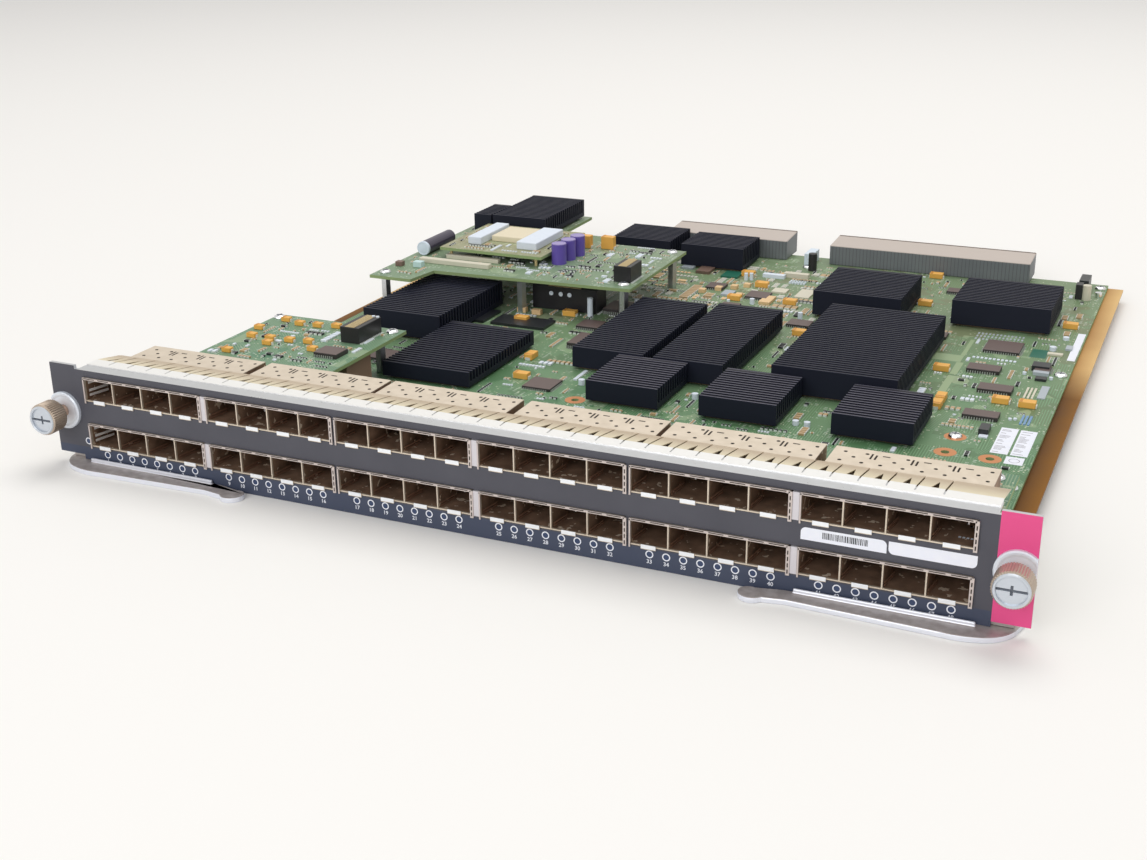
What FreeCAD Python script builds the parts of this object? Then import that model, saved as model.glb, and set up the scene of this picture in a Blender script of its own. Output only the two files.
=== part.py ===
"""A switch line card with forty-eight pluggable-module ports, as a parametric document.

X runs along the faceplate, Y runs back into the chassis and Z is up. X is zero on the card's centre plane,
Y is zero half way between the captive knobs and the backplane connectors, and Z is zero where the card rests.
In the helpers below, y is counted back from the faceplate's metal face.
"""
import FreeCAD, Part
import os
import Sketcher

KNOB_SIDES = 28
BARREL_SIDES = 20
SMALL_SIDES = 12

doc = FreeCAD.newDocument("switch_line_card")
dims = doc.addObject("Spreadsheet::Sheet", "dims")
nodes = []


# ---------------------------------------------------------------- driving dimensions, in millimetres
def fill_sheet(rows):
    """Writes one alias and one plain number to each row of the sheet."""
    for index, (alias, number) in enumerate(rows, start=1):
        dims.set(f"A{index}", alias)
        dims.set(f"B{index}", str(number))
        dims.setAlias(f"B{index}", alias)
    doc.recompute()


fill_sheet([
    ("knob_reach", 15), ("card_reach", 414), ("half_width", 196.9), ("over", 1), ("running_play", 0.1),
    ("ear_width", 12.5), ("ear_base", 4.2), ("ear_top", 43), ("face_base", 0.1), ("face_top", 41.5),
    ("shoulder_width", 22.6), ("shoulder_base", 2.2),
    ("face_sheet", 1.5), ("overlay_sheet", 0.3), ("flange_reach", 12),
    ("tray_sheet", 1.2), ("tray_half", 185.8), ("floor_half", 170), ("rail_top", 7), ("tray_reach", 405),
    ("tray_front", 1.5), ("tab_half", 191.5), ("tab_reach", 14),
    ("board_sheet", 1.6), ("board_front", 3.2), ("board_half", 177.9), ("board_reach", 405),
    ("hole_radius", 1.7),
    ("main_top", 8.6), ("port_top", 28.5), ("daughter_top", 28.2), ("module_top", 34.2),
    ("port_board_half", 181), ("port_board_reach", 66),
    ("tongue_left", 20.5), ("tongue_width", 70), ("tongue_reach", 132),
    ("brick_left", 40), ("brick_front", 256), ("brick_width", 61), ("brick_depth", 57.9),
    ("port_pitch", 14.25), ("cage_height", 10), ("cage_reach", 44.6), ("cage_nose", 0.7), ("cage_wall", 0.5),
    ("cage_side", 0.1), ("window_play", 0.3), ("tab_width", 5.6), ("tab_rise", 0.9), ("tab_fall", 0.8),
    ("host_front", 34), ("host_reach", 43), ("host_inset", 1.3), ("host_height", 5.6),
    ("web_width", 2.3), ("web_play", 1), ("web_nose", 0.9), ("web_reach", 6),
    ("gasket_sheet", 0.35), ("gasket_half", 183.2), ("gasket_front", 6.2), ("gasket_bend", 12.4),
    ("gasket_gap", 0.15), ("gasket_kick", 0.6), ("gasket_heel", 2), ("finger_pitch", 9.4),
    ("finger_slit", 0.6), ("finger_front", 8.2), ("finger_reach", 27.5), ("vent_width", 2.4),
    ("vent_front", 12.8), ("vent_reach", 21.6),
    ("fin_pitch", 2.9), ("fin_gap", 1.5), ("sink_base", 2.4), ("package_height", 1.2), ("package_inset", 2.5),
    ("plug_front", 392), ("plug_slope", 12), ("plug_top", 24.4), ("plug_top_low", 18.7),
    ("guide_front", 386), ("guide_width", 5), ("guide_depth", 14), ("guide_height", 6.5),
    ("screw_x", 191.4), ("screw_z", 23.1), ("knob_radius", 6.6), ("knob_length", 8.8), ("knob_rim", 1.3),
    ("knob_dish", 0.9), ("slot_width", 1.5), ("slot_depth", 2),
    ("cross_reach", 3), ("shank_radius", 2.4), ("thread_radius", 2),
    ("thread_length", 5), ("screw_tip", 9), ("ferrule_radius", 7.9), ("ferrule_disc", 1.2),
    ("ferrule_barrel", 3.6), ("ferrule_back", 2.6),
    ("clip_radius", 4), ("clip_sheet", 0.8), ("clip_bore", 2.6),
    ("pivot_x", 184.9), ("pivot_y", 6), ("rivet_radius", 2), ("rivet_head", 3.2), ("head_height", 0.9),
    ("lever_sheet", 2.1), ("lever_lip", 1.6), ("lip_sheet", 1), ("lip_back", 1.2), ("lip_start", 17),
    ("lip_reach", 77.5),
    ("post_radius", 2.6), ("screw_head", 2.9), ("screw_head_height", 1.5), ("pin_radius", 0.8),
    ("stacker_left", 81), ("stacker_front", 84), ("stacker_width", 7), ("stacker_depth", 20),
    ("case_length", 7.3), ("case_width", 4.3), ("case_height", 2.9), ("tall_case_height", 7),
    ("purple_radius", 4), ("purple_height", 11), ("bulk_radius", 3.8), ("bulk_length", 30),
])
dims.set("D1", "=-(card_reach - knob_reach) / 2")
dims.setAlias("D1", "face_y")
doc.recompute()


def size(alias):
    """The number that a cell holds."""
    return float(dims.get(alias))


# ---------------------------------------------------------------- helpers
def place(part, x, y, z):
    """Binds a part's origin to a point of the card: x from the middle, y back from the face, z up."""
    part.setExpression("Placement.Base.x", f"{x}")
    part.setExpression("Placement.Base.y", f"dims.face_y + ({y})")
    part.setExpression("Placement.Base.z", f"{z}")
    return part


def box(name, low, extent):
    """A block with its low corner and its three sizes bound to the sheet."""
    block = doc.addObject("Part::Box", name)
    for side, value in zip(("Length", "Width", "Height"), extent):
        block.setExpression(side, f"{value}")
    return place(block, *low)


def rod(name, centre, radius, length, axis="z"):
    """A cylinder that starts at centre and runs up, or back into the card."""
    shaft = doc.addObject("Part::Cylinder", name)
    shaft.setExpression("Radius", f"{radius}")
    shaft.setExpression("Height", f"{length}")
    if axis == "y":
        shaft.Placement.Rotation = FreeCAD.Rotation(FreeCAD.Vector(1, 0, 0), -90)
    return place(shaft, *centre)


def bar(name, centre, radius, length, sides, axis="z"):
    """A bar with flat sides, for hexagonal posts and small turned parts that need few facets."""
    prism = doc.addObject("Part::Prism", name)
    prism.Polygon = sides
    prism.setExpression("Circumradius", f"{radius}")
    prism.setExpression("Height", f"{length}")
    if axis == "y":
        prism.Placement.Rotation = FreeCAD.Rotation(FreeCAD.Vector(1, 0, 0), -90)
    return place(prism, *centre)


def join(name, pieces):
    """One solid out of pieces that touch or overlap."""
    fused = doc.addObject("Part::MultiFuse", name)
    fused.Shapes = pieces
    fused.Refine = True
    return fused


def gather(name, pieces):
    """Several separate solids in one node."""
    group = doc.addObject("Part::Compound", name)
    group.Links = pieces
    return group


def cut(name, base, tools):
    """The base with every tool taken out of it."""
    result = doc.addObject("Part::Cut", name)
    result.Base = base
    result.Tool = tools[0] if len(tools) == 1 else gather(f"{name}_tools", tools)
    return result


def node(label, part):
    """Makes a part one of the card's sub-parts, written to its own file."""
    part.Label = label
    nodes.append(part)
    return part


def plane(body, role):
    """One of a body's own origin planes or axes."""
    return next(item for item in body.Origin.OriginFeatures if item.Role == role)


def sketch_on(body, role, name):
    """An empty sketch on one of a body's origin planes."""
    drawing = body.newObject("Sketcher::SketchObject", name)
    drawing.AttachmentSupport = [(plane(body, role), "")]
    drawing.MapMode = "FlatFace"
    return drawing


def outline(drawing, points):
    """A closed outline. A point written as a pair of pairs is an arc: by way of the first, to the second."""
    def vector(pair):
        return FreeCAD.Vector(pair[0], pair[1], 0)

    start = here = vector(points[0])
    for step in points[1:] + [points[0]]:
        if isinstance(step[0], tuple):
            drawing.addGeometry(Part.Arc(here, vector(step[0]), vector(step[1])), False)
            here = vector(step[1])
        elif (vector(step) - here).Length > 1e-6:
            drawing.addGeometry(Part.LineSegment(here, vector(step)), False)
            here = vector(step)
    assert (here - start).Length < 1e-6
    return drawing


def rectangle(drawing, low, extent):
    """A rectangle whose corner and sides are constrained to expressions, which may not be negative."""
    corners = [FreeCAD.Vector(x, y, 0) for x, y in ((1, 1), (5, 1), (5, 4), (1, 4))]
    first = drawing.GeometryCount
    for index in range(4):
        drawing.addGeometry(Part.LineSegment(corners[index], corners[(index + 1) % 4]), False)
    for index in range(4):
        here, following = first + index, first + (index + 1) % 4
        drawing.addConstraint(Sketcher.Constraint("Coincident", here, 2, following, 1))
        drawing.addConstraint(Sketcher.Constraint("Horizontal" if index % 2 == 0 else "Vertical", here))
    for kind, value, line in (("DistanceX", extent[0], first), ("DistanceY", extent[1], first + 1)):
        index = drawing.addConstraint(Sketcher.Constraint(kind, line, 1, line, 2, 4.0))
        drawing.setExpression(f"Constraints[{index}]", f"{value}")
    for kind, value in (("DistanceX", low[0]), ("DistanceY", low[1])):
        index = drawing.addConstraint(Sketcher.Constraint(kind, -1, 1, first, 1, 1.0))
        drawing.setExpression(f"Constraints[{index}]", f"{value}")
    return drawing


def pad(body, drawing, length, name):
    """A pad whose length is bound to the sheet."""
    feature = body.newObject("PartDesign::Pad", name)
    feature.Profile = drawing
    feature.setExpression("Length", f"{length}")
    drawing.Visibility = False
    return feature


def pocket_through(body, drawing, name, both_ways=False, flipped=False):
    """A pocket all the way through the body."""
    feature = body.newObject("PartDesign::Pocket", name)
    feature.Profile = drawing
    feature.Type = 1
    feature.Midplane = both_ways
    feature.Reversed = flipped
    return feature


# ---------------------------------------------------------------- where the ports and parts are
# Left edges of the six groups of ports, counted from the middle of the card.
group_lefts = (-179.6, -119.2, -60.0, 0.5, 59.6, 120.3)
group_width = "4 * dims.port_pitch"
row_bases = {"upper": "dims.port_top", "lower": "dims.main_top"}
face_width = "(dims.half_width - dims.ear_width)"


def from_left(x):
    """A place counted from the faceplate's left edge, turned into one counted from the middle."""
    return round(x - size("half_width"), 3)


# ---------------------------------------------------------------- carrier tray
def carrier_tray():
    """The folded steel carrier: a floor, a rail along each side for the card guides, and a front lip."""
    sheet, rail, lift = size("tray_sheet"), size("rail_top"), size("shoulder_base")
    outer, inner = size("tray_half"), size("floor_half")
    body = doc.addObject("PartDesign::Body", "tray_fold")
    right = [(inner, lift), (inner, rail - sheet), (outer, rail - sheet), (outer, rail),
             (inner - sheet, rail), (inner - sheet, lift + sheet)]
    left = [(-x, z) for x, z in reversed(right)]
    fold = outline(sketch_on(body, "XZ_Plane", "tray_section"), right + left)
    pad(body, fold, "dims.tray_reach - dims.tray_front", "tray_run").Reversed = True
    place(body, 0, "dims.tray_front", 0)
    front = box("tray_front_lip", ("-dims.floor_half", "dims.tray_front", "dims.shoulder_base"),
                ("2 * dims.floor_half", "dims.tray_sheet",
                 "dims.main_top - dims.board_sheet - dims.shoulder_base"))
    tabs = box("tray_lever_tabs",
               ("-dims.tab_half", "dims.tray_front", "dims.shoulder_base + dims.running_play"),
               ("2 * dims.tab_half", "dims.tab_reach - dims.tray_front",
                "dims.tray_sheet - dims.running_play"))
    holes = [rod(f"tray_rivet_hole_{i}", (f"{side} * dims.pivot_x", "dims.pivot_y", "0"), "dims.rivet_radius",
                 "dims.main_top") for i, side in enumerate((-1, 1))]
    return node("carrier_tray", cut("tray", join("tray_sheet_metal", [body, front, tabs]), holes))


# ---------------------------------------------------------------- faceplate and what is stuck to it
def windows(name):
    """A block through each of the twelve windows, and beside every second one through the web's opening."""
    front, depth = "-dims.overlay_sheet - dims.over", "dims.overlay_sheet + dims.face_sheet + 2 * dims.over"
    voids = []
    for row, base in row_bases.items():
        for number, left in enumerate(group_lefts, start=1):
            low = (f"{left} - dims.cage_side - dims.window_play", front, f"{base} - dims.window_play")
            extent = (f"{group_width} + 2 * (dims.cage_side + dims.window_play)", depth,
                      "dims.cage_height + 2 * dims.window_play")
            voids.append(box(f"{name}_{row}_{number}", low, extent))
            if number % 2 == 0:
                web_room = "(dims.web_width + dims.web_play)"
                voids.append(box(f"{name}_web_{row}_{number}", (f"{low[0]} - {web_room}", *low[1:]),
                                 (f"{web_room} + dims.window_play", *extent[1:])))
    return voids


def ear_hole(name, side):
    """The hole in an ear, which the ferrule's barrel fills."""
    return bar(name, (f"{side} * dims.screw_x", "-dims.overlay_sheet - dims.over", "dims.screw_z"),
               "dims.ferrule_barrel", "dims.overlay_sheet + dims.face_sheet + 2 * dims.over",
               BARREL_SIDES, "y")


def face_strips(name, front, depth):
    """The face without its ears: the wide middle, and a shoulder at each end that clears the levers below."""
    middle = box(f"{name}_middle", ("dims.shoulder_width - dims.half_width", front, "dims.face_base"),
                 ("2 * (dims.half_width - dims.shoulder_width)", depth, "dims.face_top - dims.face_base"))
    left = box(f"{name}_left_shoulder", (f"-{face_width}", front, "dims.shoulder_base"),
               ("dims.shoulder_width - dims.ear_width", depth, "dims.face_top - dims.shoulder_base"))
    return [middle, left]


def faceplate():
    """The steel faceplate: the face, two taller ears, and a flange folded back along the top."""
    right = box("face_right_shoulder", ("dims.half_width - dims.shoulder_width", "0", "dims.shoulder_base"),
                ("dims.shoulder_width - dims.ear_width", "dims.face_sheet",
                 "dims.face_top - dims.shoulder_base"))
    ears = [box(f"face_ear_{i}", (left, "0", "dims.ear_base"),
                ("dims.ear_width", "dims.face_sheet", "dims.ear_top - dims.ear_base"))
            for i, left in enumerate(("-dims.half_width", face_width))]
    flange = box("face_flange", ("-dims.gasket_half", "0", "dims.face_top - dims.face_sheet"),
                 ("2 * dims.gasket_half", "dims.flange_reach", "dims.face_sheet"))
    holes = [ear_hole(f"face_hole_{i}", side) for i, side in enumerate((-1, 1))]
    sheet = join("face_sheet_metal", [*face_strips("face", "0", "dims.face_sheet"), right, *ears, flange])
    voids = windows("face_window") + holes
    return node("faceplate", cut("face", sheet, voids))


def faceplate_overlay():
    """The dark printed foil on the face and the left ear."""
    right = box("overlay_right_shoulder",
                ("dims.half_width - dims.shoulder_width", "-dims.overlay_sheet", "dims.shoulder_base"),
                ("dims.shoulder_width - dims.ear_width", "dims.overlay_sheet",
                 "dims.face_top - dims.shoulder_base"))
    ear = box("overlay_ear", ("-dims.half_width", "-dims.overlay_sheet", "dims.ear_base"),
              ("dims.ear_width", "dims.overlay_sheet", "dims.ear_top - dims.ear_base"))
    strips = face_strips("overlay", "-dims.overlay_sheet", "dims.overlay_sheet")
    voids = windows("overlay_window") + [ear_hole("overlay_hole", -1)]
    return node("faceplate_overlay", cut("overlay", join("overlay_foil", [*strips, right, ear]), voids))


def ear_label():
    """The coloured foil that marks the right ear."""
    ear = box("label_foil", (face_width, "-dims.overlay_sheet", "dims.ear_base"),
              ("dims.ear_width", "dims.overlay_sheet", "dims.ear_top - dims.ear_base"))
    return node("ear_label", cut("label", ear, [ear_hole("label_hole", 1)]))


def top_gasket_strip():
    """The spring-finger strip over the top flange. Slits part it into fingers, each with a small vent."""
    sheet, top, half = size("gasket_sheet"), size("face_top"), size("gasket_half")
    heel, tip = size("finger_reach") - size("gasket_heel"), size("finger_reach")
    low = size("port_top") + size("cage_height") + size("gasket_gap")
    under = [(size("gasket_front"), top), (size("gasket_bend"), top), (heel, low + size("gasket_kick")),
             (tip, low)]
    over = [(y, z + sheet) for y, z in reversed(under)]
    body = doc.addObject("PartDesign::Body", "gasket_body")
    section = outline(sketch_on(body, "YZ_Plane", "gasket_section"), over + under)
    pad(body, section, "2 * dims.gasket_half", "gasket_run")
    openings = sketch_on(body, "XY_Plane", "gasket_slit")
    pitch, slit = size("finger_pitch"), size("finger_slit")
    first, past = size("finger_front"), tip + size("over")
    outline(openings, [(pitch, first), (pitch + slit, first), (pitch + slit, past), (pitch, past)])
    side, broad = pitch / 2, size("vent_width")
    outline(openings, [(side, size("vent_front")), (side + broad, size("vent_front")),
                       (side + broad / 2, size("vent_reach"))])
    slits = pocket_through(body, openings, "gasket_slits", both_ways=True)
    pattern = body.newObject("PartDesign::LinearPattern", "gasket_fingers")
    pattern.Originals = [slits]
    pattern.Direction = (openings, ["H_Axis"])
    count = int(2 * half / pitch) - 1
    pattern.Length = pitch * (count - 1)
    pattern.Occurrences = count
    body.Tip = pattern
    place(body, "-dims.gasket_half", 0, 0)
    return node("top_gasket_strip", body)


def cage_webs():
    """The light metal webs that close the wider gaps between two cages."""
    webs = [box(f"web_{row}_{number}",
                (f"{group_lefts[number - 1]} - dims.cage_side - dims.window_play - dims.web_width",
                 "-dims.web_nose", base),
                ("dims.web_width", "dims.web_nose + dims.web_reach", "dims.cage_height"))
            for row, base in row_bases.items() for number in (2, 4, 6)]
    return node("cage_webs", gather("webs", webs))


# ---------------------------------------------------------------- module cages and the sockets inside
def module_cage(row, number, left, base):
    """A one-by-four cage: four bays with thin walls between them, and a latch tab under each mouth."""
    name = f"{row}_cage_{number}"
    shell = box(f"{name}_shell", (f"{left} - dims.cage_side", "-dims.cage_nose", base),
                (f"{group_width} + 2 * dims.cage_side", "dims.cage_reach + dims.cage_nose",
                 "dims.cage_height"))
    bays, tabs = [], []
    for bay in range(4):
        bay_left = f"{left} + {bay} * dims.port_pitch"
        bays.append(box(f"{name}_bay_{bay}",
                        (f"{bay_left} + dims.cage_wall / 2", "-dims.cage_nose - dims.over",
                         f"{base} + dims.cage_wall"),
                        ("dims.port_pitch - dims.cage_wall",
                         "dims.cage_reach + dims.cage_nose + dims.over - dims.cage_wall",
                         "dims.cage_height - 2 * dims.cage_wall")))
        tabs.append(box(f"{name}_tab_{bay}",
                        (f"{bay_left} + (dims.port_pitch - dims.tab_width) / 2",
                         "-dims.cage_nose - dims.cage_wall", f"{base} - dims.tab_fall"),
                        ("dims.tab_width", "dims.cage_wall", "dims.tab_rise + dims.tab_fall")))
    return node(name, join(f"{name}_whole", [cut(f"{name}_open", shell, bays), *tabs]))


def host_connectors():
    """The forty-eight board sockets that the modules plug into, one at the back of each bay."""
    sockets = []
    extent = ("dims.port_pitch - 2 * dims.host_inset", "dims.host_reach - dims.host_front",
              "dims.host_height")
    for row, base in row_bases.items():
        for number, left in enumerate(group_lefts, start=1):
            for bay in range(4):
                low = (f"{left} + {bay} * dims.port_pitch + dims.host_inset", "dims.host_front",
                       f"{base} + dims.cage_wall")
                sockets.append(box(f"host_{row}_{number}_{bay}", low, extent))
    return node("host_connectors", gather("hosts", sockets))


# ---------------------------------------------------------------- circuit boards
def main_board():
    """The main board, as large as the tray, with three plated mounting holes."""
    plate = box("main_plate", ("-dims.board_half", "dims.board_front", "dims.main_top - dims.board_sheet"),
                ("2 * dims.board_half", "dims.board_reach - dims.board_front", "dims.board_sheet"))
    holes = [bar(f"main_hole_{i}", (from_left(x), y, "0"), "dims.hole_radius", "dims.port_top", SMALL_SIDES)
             for i, (x, y) in enumerate(((340.9, 127.6), (358.7, 127), (178.6, 126.2)))]
    return node("main_board", cut("main", plate, holes))


def port_board():
    """The raised board under the upper cages, with a tongue that runs back on the left."""
    base = "dims.port_top - dims.board_sheet"
    strip = box("port_strip", ("-dims.port_board_half", "dims.board_front", base),
                ("2 * dims.port_board_half", "dims.port_board_reach - dims.board_front", "dims.board_sheet"))
    tongue = box("port_tongue", ("dims.tongue_left - dims.half_width", "dims.board_front", base),
                 ("dims.tongue_width", "dims.tongue_reach - dims.board_front", "dims.board_sheet"))
    return node("port_board", join("port_plate", [strip, tongue]))


def daughter_board():
    """The raised board at the back left, stepped at the front and cut away at the back right."""
    body = doc.addObject("PartDesign::Body", "daughter_body")
    corners = [(22.5, 211), (47, 211), (50, 231), (160, 236), (160, 318), (79, 318), (79, 374), (22.5, 374)]
    shape = outline(sketch_on(body, "XY_Plane", "daughter_outline"), [(from_left(x), y) for x, y in corners])
    pad(body, shape, "dims.board_sheet", "daughter_plate")
    place(body, 0, 0, "dims.daughter_top - dims.board_sheet")
    return node("daughter_board", body)


def power_module():
    """A half-brick power converter on the daughter board: its own board, its pins and its ferrite cores."""
    plate = box("brick_plate", ("dims.brick_left - dims.half_width", "dims.brick_front",
                                "dims.module_top - dims.board_sheet"),
                ("dims.brick_width", "dims.brick_depth", "dims.board_sheet"))
    node("power_module_board", plate)
    pins = [bar(f"brick_pin_{i}", (from_left(x), y, "dims.daughter_top"), "dims.pin_radius",
                "dims.module_top - dims.board_sheet - dims.daughter_top", 8)
            for i, (x, y) in enumerate([(45, 260), (96, 260), (45, 310), (62, 310), (79, 310), (96, 310)])]
    node("power_module_pins", gather("brick_pins", pins))
    cores = [box(f"brick_core_{i}", (from_left(x), y, "dims.module_top"), (long, deep, tall))
             for i, (x, y, long, deep, tall) in enumerate([(51, 268, 8, 35, 4.2), (81, 267, 12, 35, 4.2),
                                                           (60.5, 278, 19, 23, 3.2)])]
    return node("power_module_cores", gather("brick_cores", cores))


# ---------------------------------------------------------------- heat sinks
# Each: name, left, front, length, depth, top, and the board that it stands on.
sinks = [
    ("front_left", 183.9, 125.6, 33.8, 38.5, 19.1, "main_top"),
    ("front_middle", 236.3, 126, 34.4, 39, 19.1, "main_top"),
    ("front_right", 294, 126.4, 34, 38.2, 19.2, "main_top"),
    ("centre", 255.5, 167.4, 56.5, 103, 22.2, "main_top"),
    ("inner_left", 160, 164.6, 35.4, 89, 19.8, "main_top"),
    ("inner_right", 200.4, 164.6, 33.4, 93.2, 19.8, "main_top"),
    ("left_near", 84, 119.8, 45.1, 67.8, 16.9, "main_top"),
    ("left_far", 40, 175.4, 43.2, 69.8, 22.2, "main_top"),
    ("right_far", 309.3, 299, 48.5, 46, 22.2, "main_top"),
    ("centre_far", 240.5, 288, 45.5, 50, 22.7, "main_top"),
    ("rear_left", 99.5, 358, 36, 34, 22.2, "main_top"),
    ("rear_right", 143, 356, 37.5, 31, 22.2, "main_top"),
    ("daughter_near", 30, 315.5, 11, 26.5, 39, "daughter_top"),
    ("daughter_far", 42, 315.5, 33.5, 55, 39.4, "daughter_top"),
]


def heat_sink(name, left, front, length, depth, top, board):
    """A pressed-fin heat sink: a block with grooves sawn across its top, so that the fins run along X."""
    body = doc.addObject("PartDesign::Body", f"{name}_sink_body")
    base = f"(dims.{board} + dims.package_height)"
    block = rectangle(sketch_on(body, "XY_Plane", f"{name}_sink_base"), (0, 0), (length, depth))
    pad(body, block, f"{top} - {base}", f"{name}_sink_block")
    groove = rectangle(sketch_on(body, "YZ_Plane", f"{name}_sink_groove"),
                       ("dims.fin_pitch - dims.fin_gap", "dims.sink_base"),
                       ("dims.fin_gap", f"{top} - {base}"))
    doc.recompute()
    first = pocket_through(body, groove, f"{name}_sink_cut", flipped=True)
    rows = body.newObject("PartDesign::LinearPattern", f"{name}_sink_fins")
    rows.Originals = [first]
    rows.Direction = (groove, ["H_Axis"])
    fin = size("fin_pitch") - size("fin_gap")
    count = int((depth - fin) / size("fin_pitch"))
    rows.Length = size("fin_pitch") * (count - 1)
    rows.Occurrences = count
    body.Tip = rows
    place(body, from_left(left), front, base)
    return node(f"heat_sink_{name}", body)


def packages():
    """The large chip packages that the heat sinks are glued to."""
    inset = size("package_inset")
    chips = [box(f"package_{name}", (from_left(left + inset), front + inset, f"dims.{board}"),
                 (length - 2 * inset, depth - 2 * inset, "dims.package_height"))
             for name, left, front, length, depth, top, board in sinks]
    return node("processor_packages", gather("package_set", chips))


# ---------------------------------------------------------------- backplane end
def backplane_connector(side, left, right):
    """A right-angle connector to the backplane, lower at the front, where its leads bend down."""
    body = doc.addObject("PartDesign::Body", f"{side}_plug_body")
    front, slope = size("plug_front"), size("plug_slope")
    base, low, top, back = size("main_top"), size("plug_top_low"), size("plug_top"), size("card_reach")
    side_view = [(front, base), (front, low), (front + slope, top), (back, top), (back, base)]
    drawing = outline(sketch_on(body, "YZ_Plane", f"{side}_plug_side"), side_view)
    pad(body, drawing, right - left, f"{side}_plug_run")
    place(body, from_left(left), 0, 0)
    return node(f"backplane_connector_{side}", body)


def alignment_sockets():
    """The two small guide blocks beside the backplane connectors."""
    sockets = [box(f"guide_{i}", (from_left(x), "dims.guide_front", "dims.main_top"),
                   ("dims.guide_width", "dims.guide_depth", "dims.guide_height"))
               for i, x in enumerate((208, 361))]
    return node("alignment_sockets", gather("guides", sockets))


# ---------------------------------------------------------------- small parts on the boards
def standoffs():
    """The hexagonal posts that carry the two raised boards."""
    under_port = [(24, 62), (120, 60), (196.9, 60), (274, 60), (371, 60), (24, 127), (79, 127)]
    under_daughter = [(28, 218), (154, 242), (154, 312), (28, 368), (97, 240)]
    posts = []
    for board, places in (("port", under_port), ("daughter", under_daughter)):
        rise = f"dims.{board}_top - dims.board_sheet - dims.main_top"
        posts += [bar(f"{board}_post_{i}", (from_left(x), y, "dims.main_top"), "dims.post_radius", rise, 6)
                  for i, (x, y) in enumerate(places)]
    return node("board_standoffs", gather("posts", posts))


def board_connector():
    """The stacking connector that joins the port board's tongue to the main board."""
    low = ("dims.stacker_left - dims.half_width", "dims.stacker_front", "dims.main_top")
    extent = ("dims.stacker_width", "dims.stacker_depth", "dims.port_top - dims.board_sheet - dims.main_top")
    return node("stacking_connector", box("stacker", low, extent))


def board_screws():
    """The pan-head screws that hold the boards down."""
    on_main = [(371, 100), (371, 240), (371.5, 396), (230, 110), (137, 110), (23, 160), (212, 380), (23, 398)]
    on_port = [(24, 62), (371, 60), (24, 127), (86, 127)]
    on_daughter = [(28, 218), (154, 242), (154, 312), (26, 368)]
    screws = []
    for board, places in (("main_top", on_main), ("port_top", on_port), ("daughter_top", on_daughter)):
        screws += [bar(f"{board}_screw_{i}", (from_left(x), y, f"dims.{board}"), "dims.screw_head",
                       "dims.screw_head_height", SMALL_SIDES) for i, (x, y) in enumerate(places)]
    return node("board_screws", gather("screws", screws))


def blocks_on(name, board, places):
    """A block for each x, y, length, depth and height on one board."""
    return [box(f"{name}_{board}_{i}", (from_left(x), y, f"dims.{board}"), (long, deep, tall))
            for i, (x, y, long, deep, tall) in enumerate(places)]


def moulded_cases(board, places, along, height="dims.case_height"):
    """Moulded capacitors of the one case size on one board, with their long side along X or along Y."""
    sides = ("dims.case_length", "dims.case_width")
    sides = sides if along == "x" else sides[::-1]
    return [box(f"tantalum_{board}_{along}_{i}", (from_left(x), y, f"dims.{board}"), (*sides, height))
            for i, (x, y) in enumerate(places)]


def tantalum_capacitors():
    """The yellow moulded capacitors."""
    lying = [(315.5, 226), (348, 192), (359.5, 191), (362, 315), (240, 253), (220, 303), (286.5, 328),
             (281, 384), (182, 349), (190, 300), (202, 268), (171, 262), (196, 330), (120, 240.5), (101, 222),
             (140, 142)]
    pieces = moulded_cases("main_top", lying, "x")
    pieces += moulded_cases("main_top", [(325, 184), (325, 175), (133, 168)], "y")
    pieces += moulded_cases("port_top", [(28, 118), (32, 92), (33, 84), (48, 96), (58, 94), (63, 86)], "x")
    pieces += moulded_cases("port_top", [(36, 112), (47, 118), (57, 121)], "y")
    pieces += moulded_cases("daughter_top", [(114, 306), (101, 304)], "x", "dims.tall_case_height")
    return node("tantalum_capacitors", gather("tantalums", pieces))


def small_chips():
    """The dark chips without a heat sink."""
    right = [(339.5, 169, 15, 8, 2), (339.5, 204, 15, 9, 2), (330, 230, 15, 9, 2), (332, 262, 17, 17, 1.6),
             (359, 240, 7, 9, 1.6)]
    middle = [(233, 266, 12, 10, 1.6), (212, 276, 9, 7, 1.6), (191, 282, 10, 10, 1.6),
              (150, 131, 14, 14, 1.4), (198, 306, 12, 12, 1.6), (236, 352, 10, 14, 1.6),
              (300, 274, 12, 8, 1.6), (296, 356, 12, 8, 1.6)]
    left = [(144.5, 192, 14, 18, 3), (138, 252, 16, 16, 3), (136, 222, 12, 12, 2), (60, 140, 14, 14, 1.4),
            (172, 316, 10, 10, 1.6)]
    tongue = [(68, 77, 14, 8, 2.2)]
    pieces = blocks_on("chip", "main_top", right + middle + left) + blocks_on("chip", "port_top", tongue)
    return node("small_chips", gather("chips", pieces))


def plastic_connectors():
    """The pale board connectors at the front of the daughter board."""
    return node("board_sockets", gather("sockets", blocks_on("socket", "daughter_top",
                                                             [(37, 214, 8, 14, 3), (47, 240, 30, 8, 1.8)])))


def pin_headers():
    """The black headers on the tongue and on the daughter board, and the wide one below that board."""
    pieces = blocks_on("header", "port_top", [(70, 100, 8, 24, 7)])
    pieces += blocks_on("header", "daughter_top", [(146.5, 246.5, 9.5, 15.5, 8.5)])
    pieces += blocks_on("header", "main_top", [(99, 249, 37, 13, 12.7)])
    return node("pin_headers", gather("headers", pieces))


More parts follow.
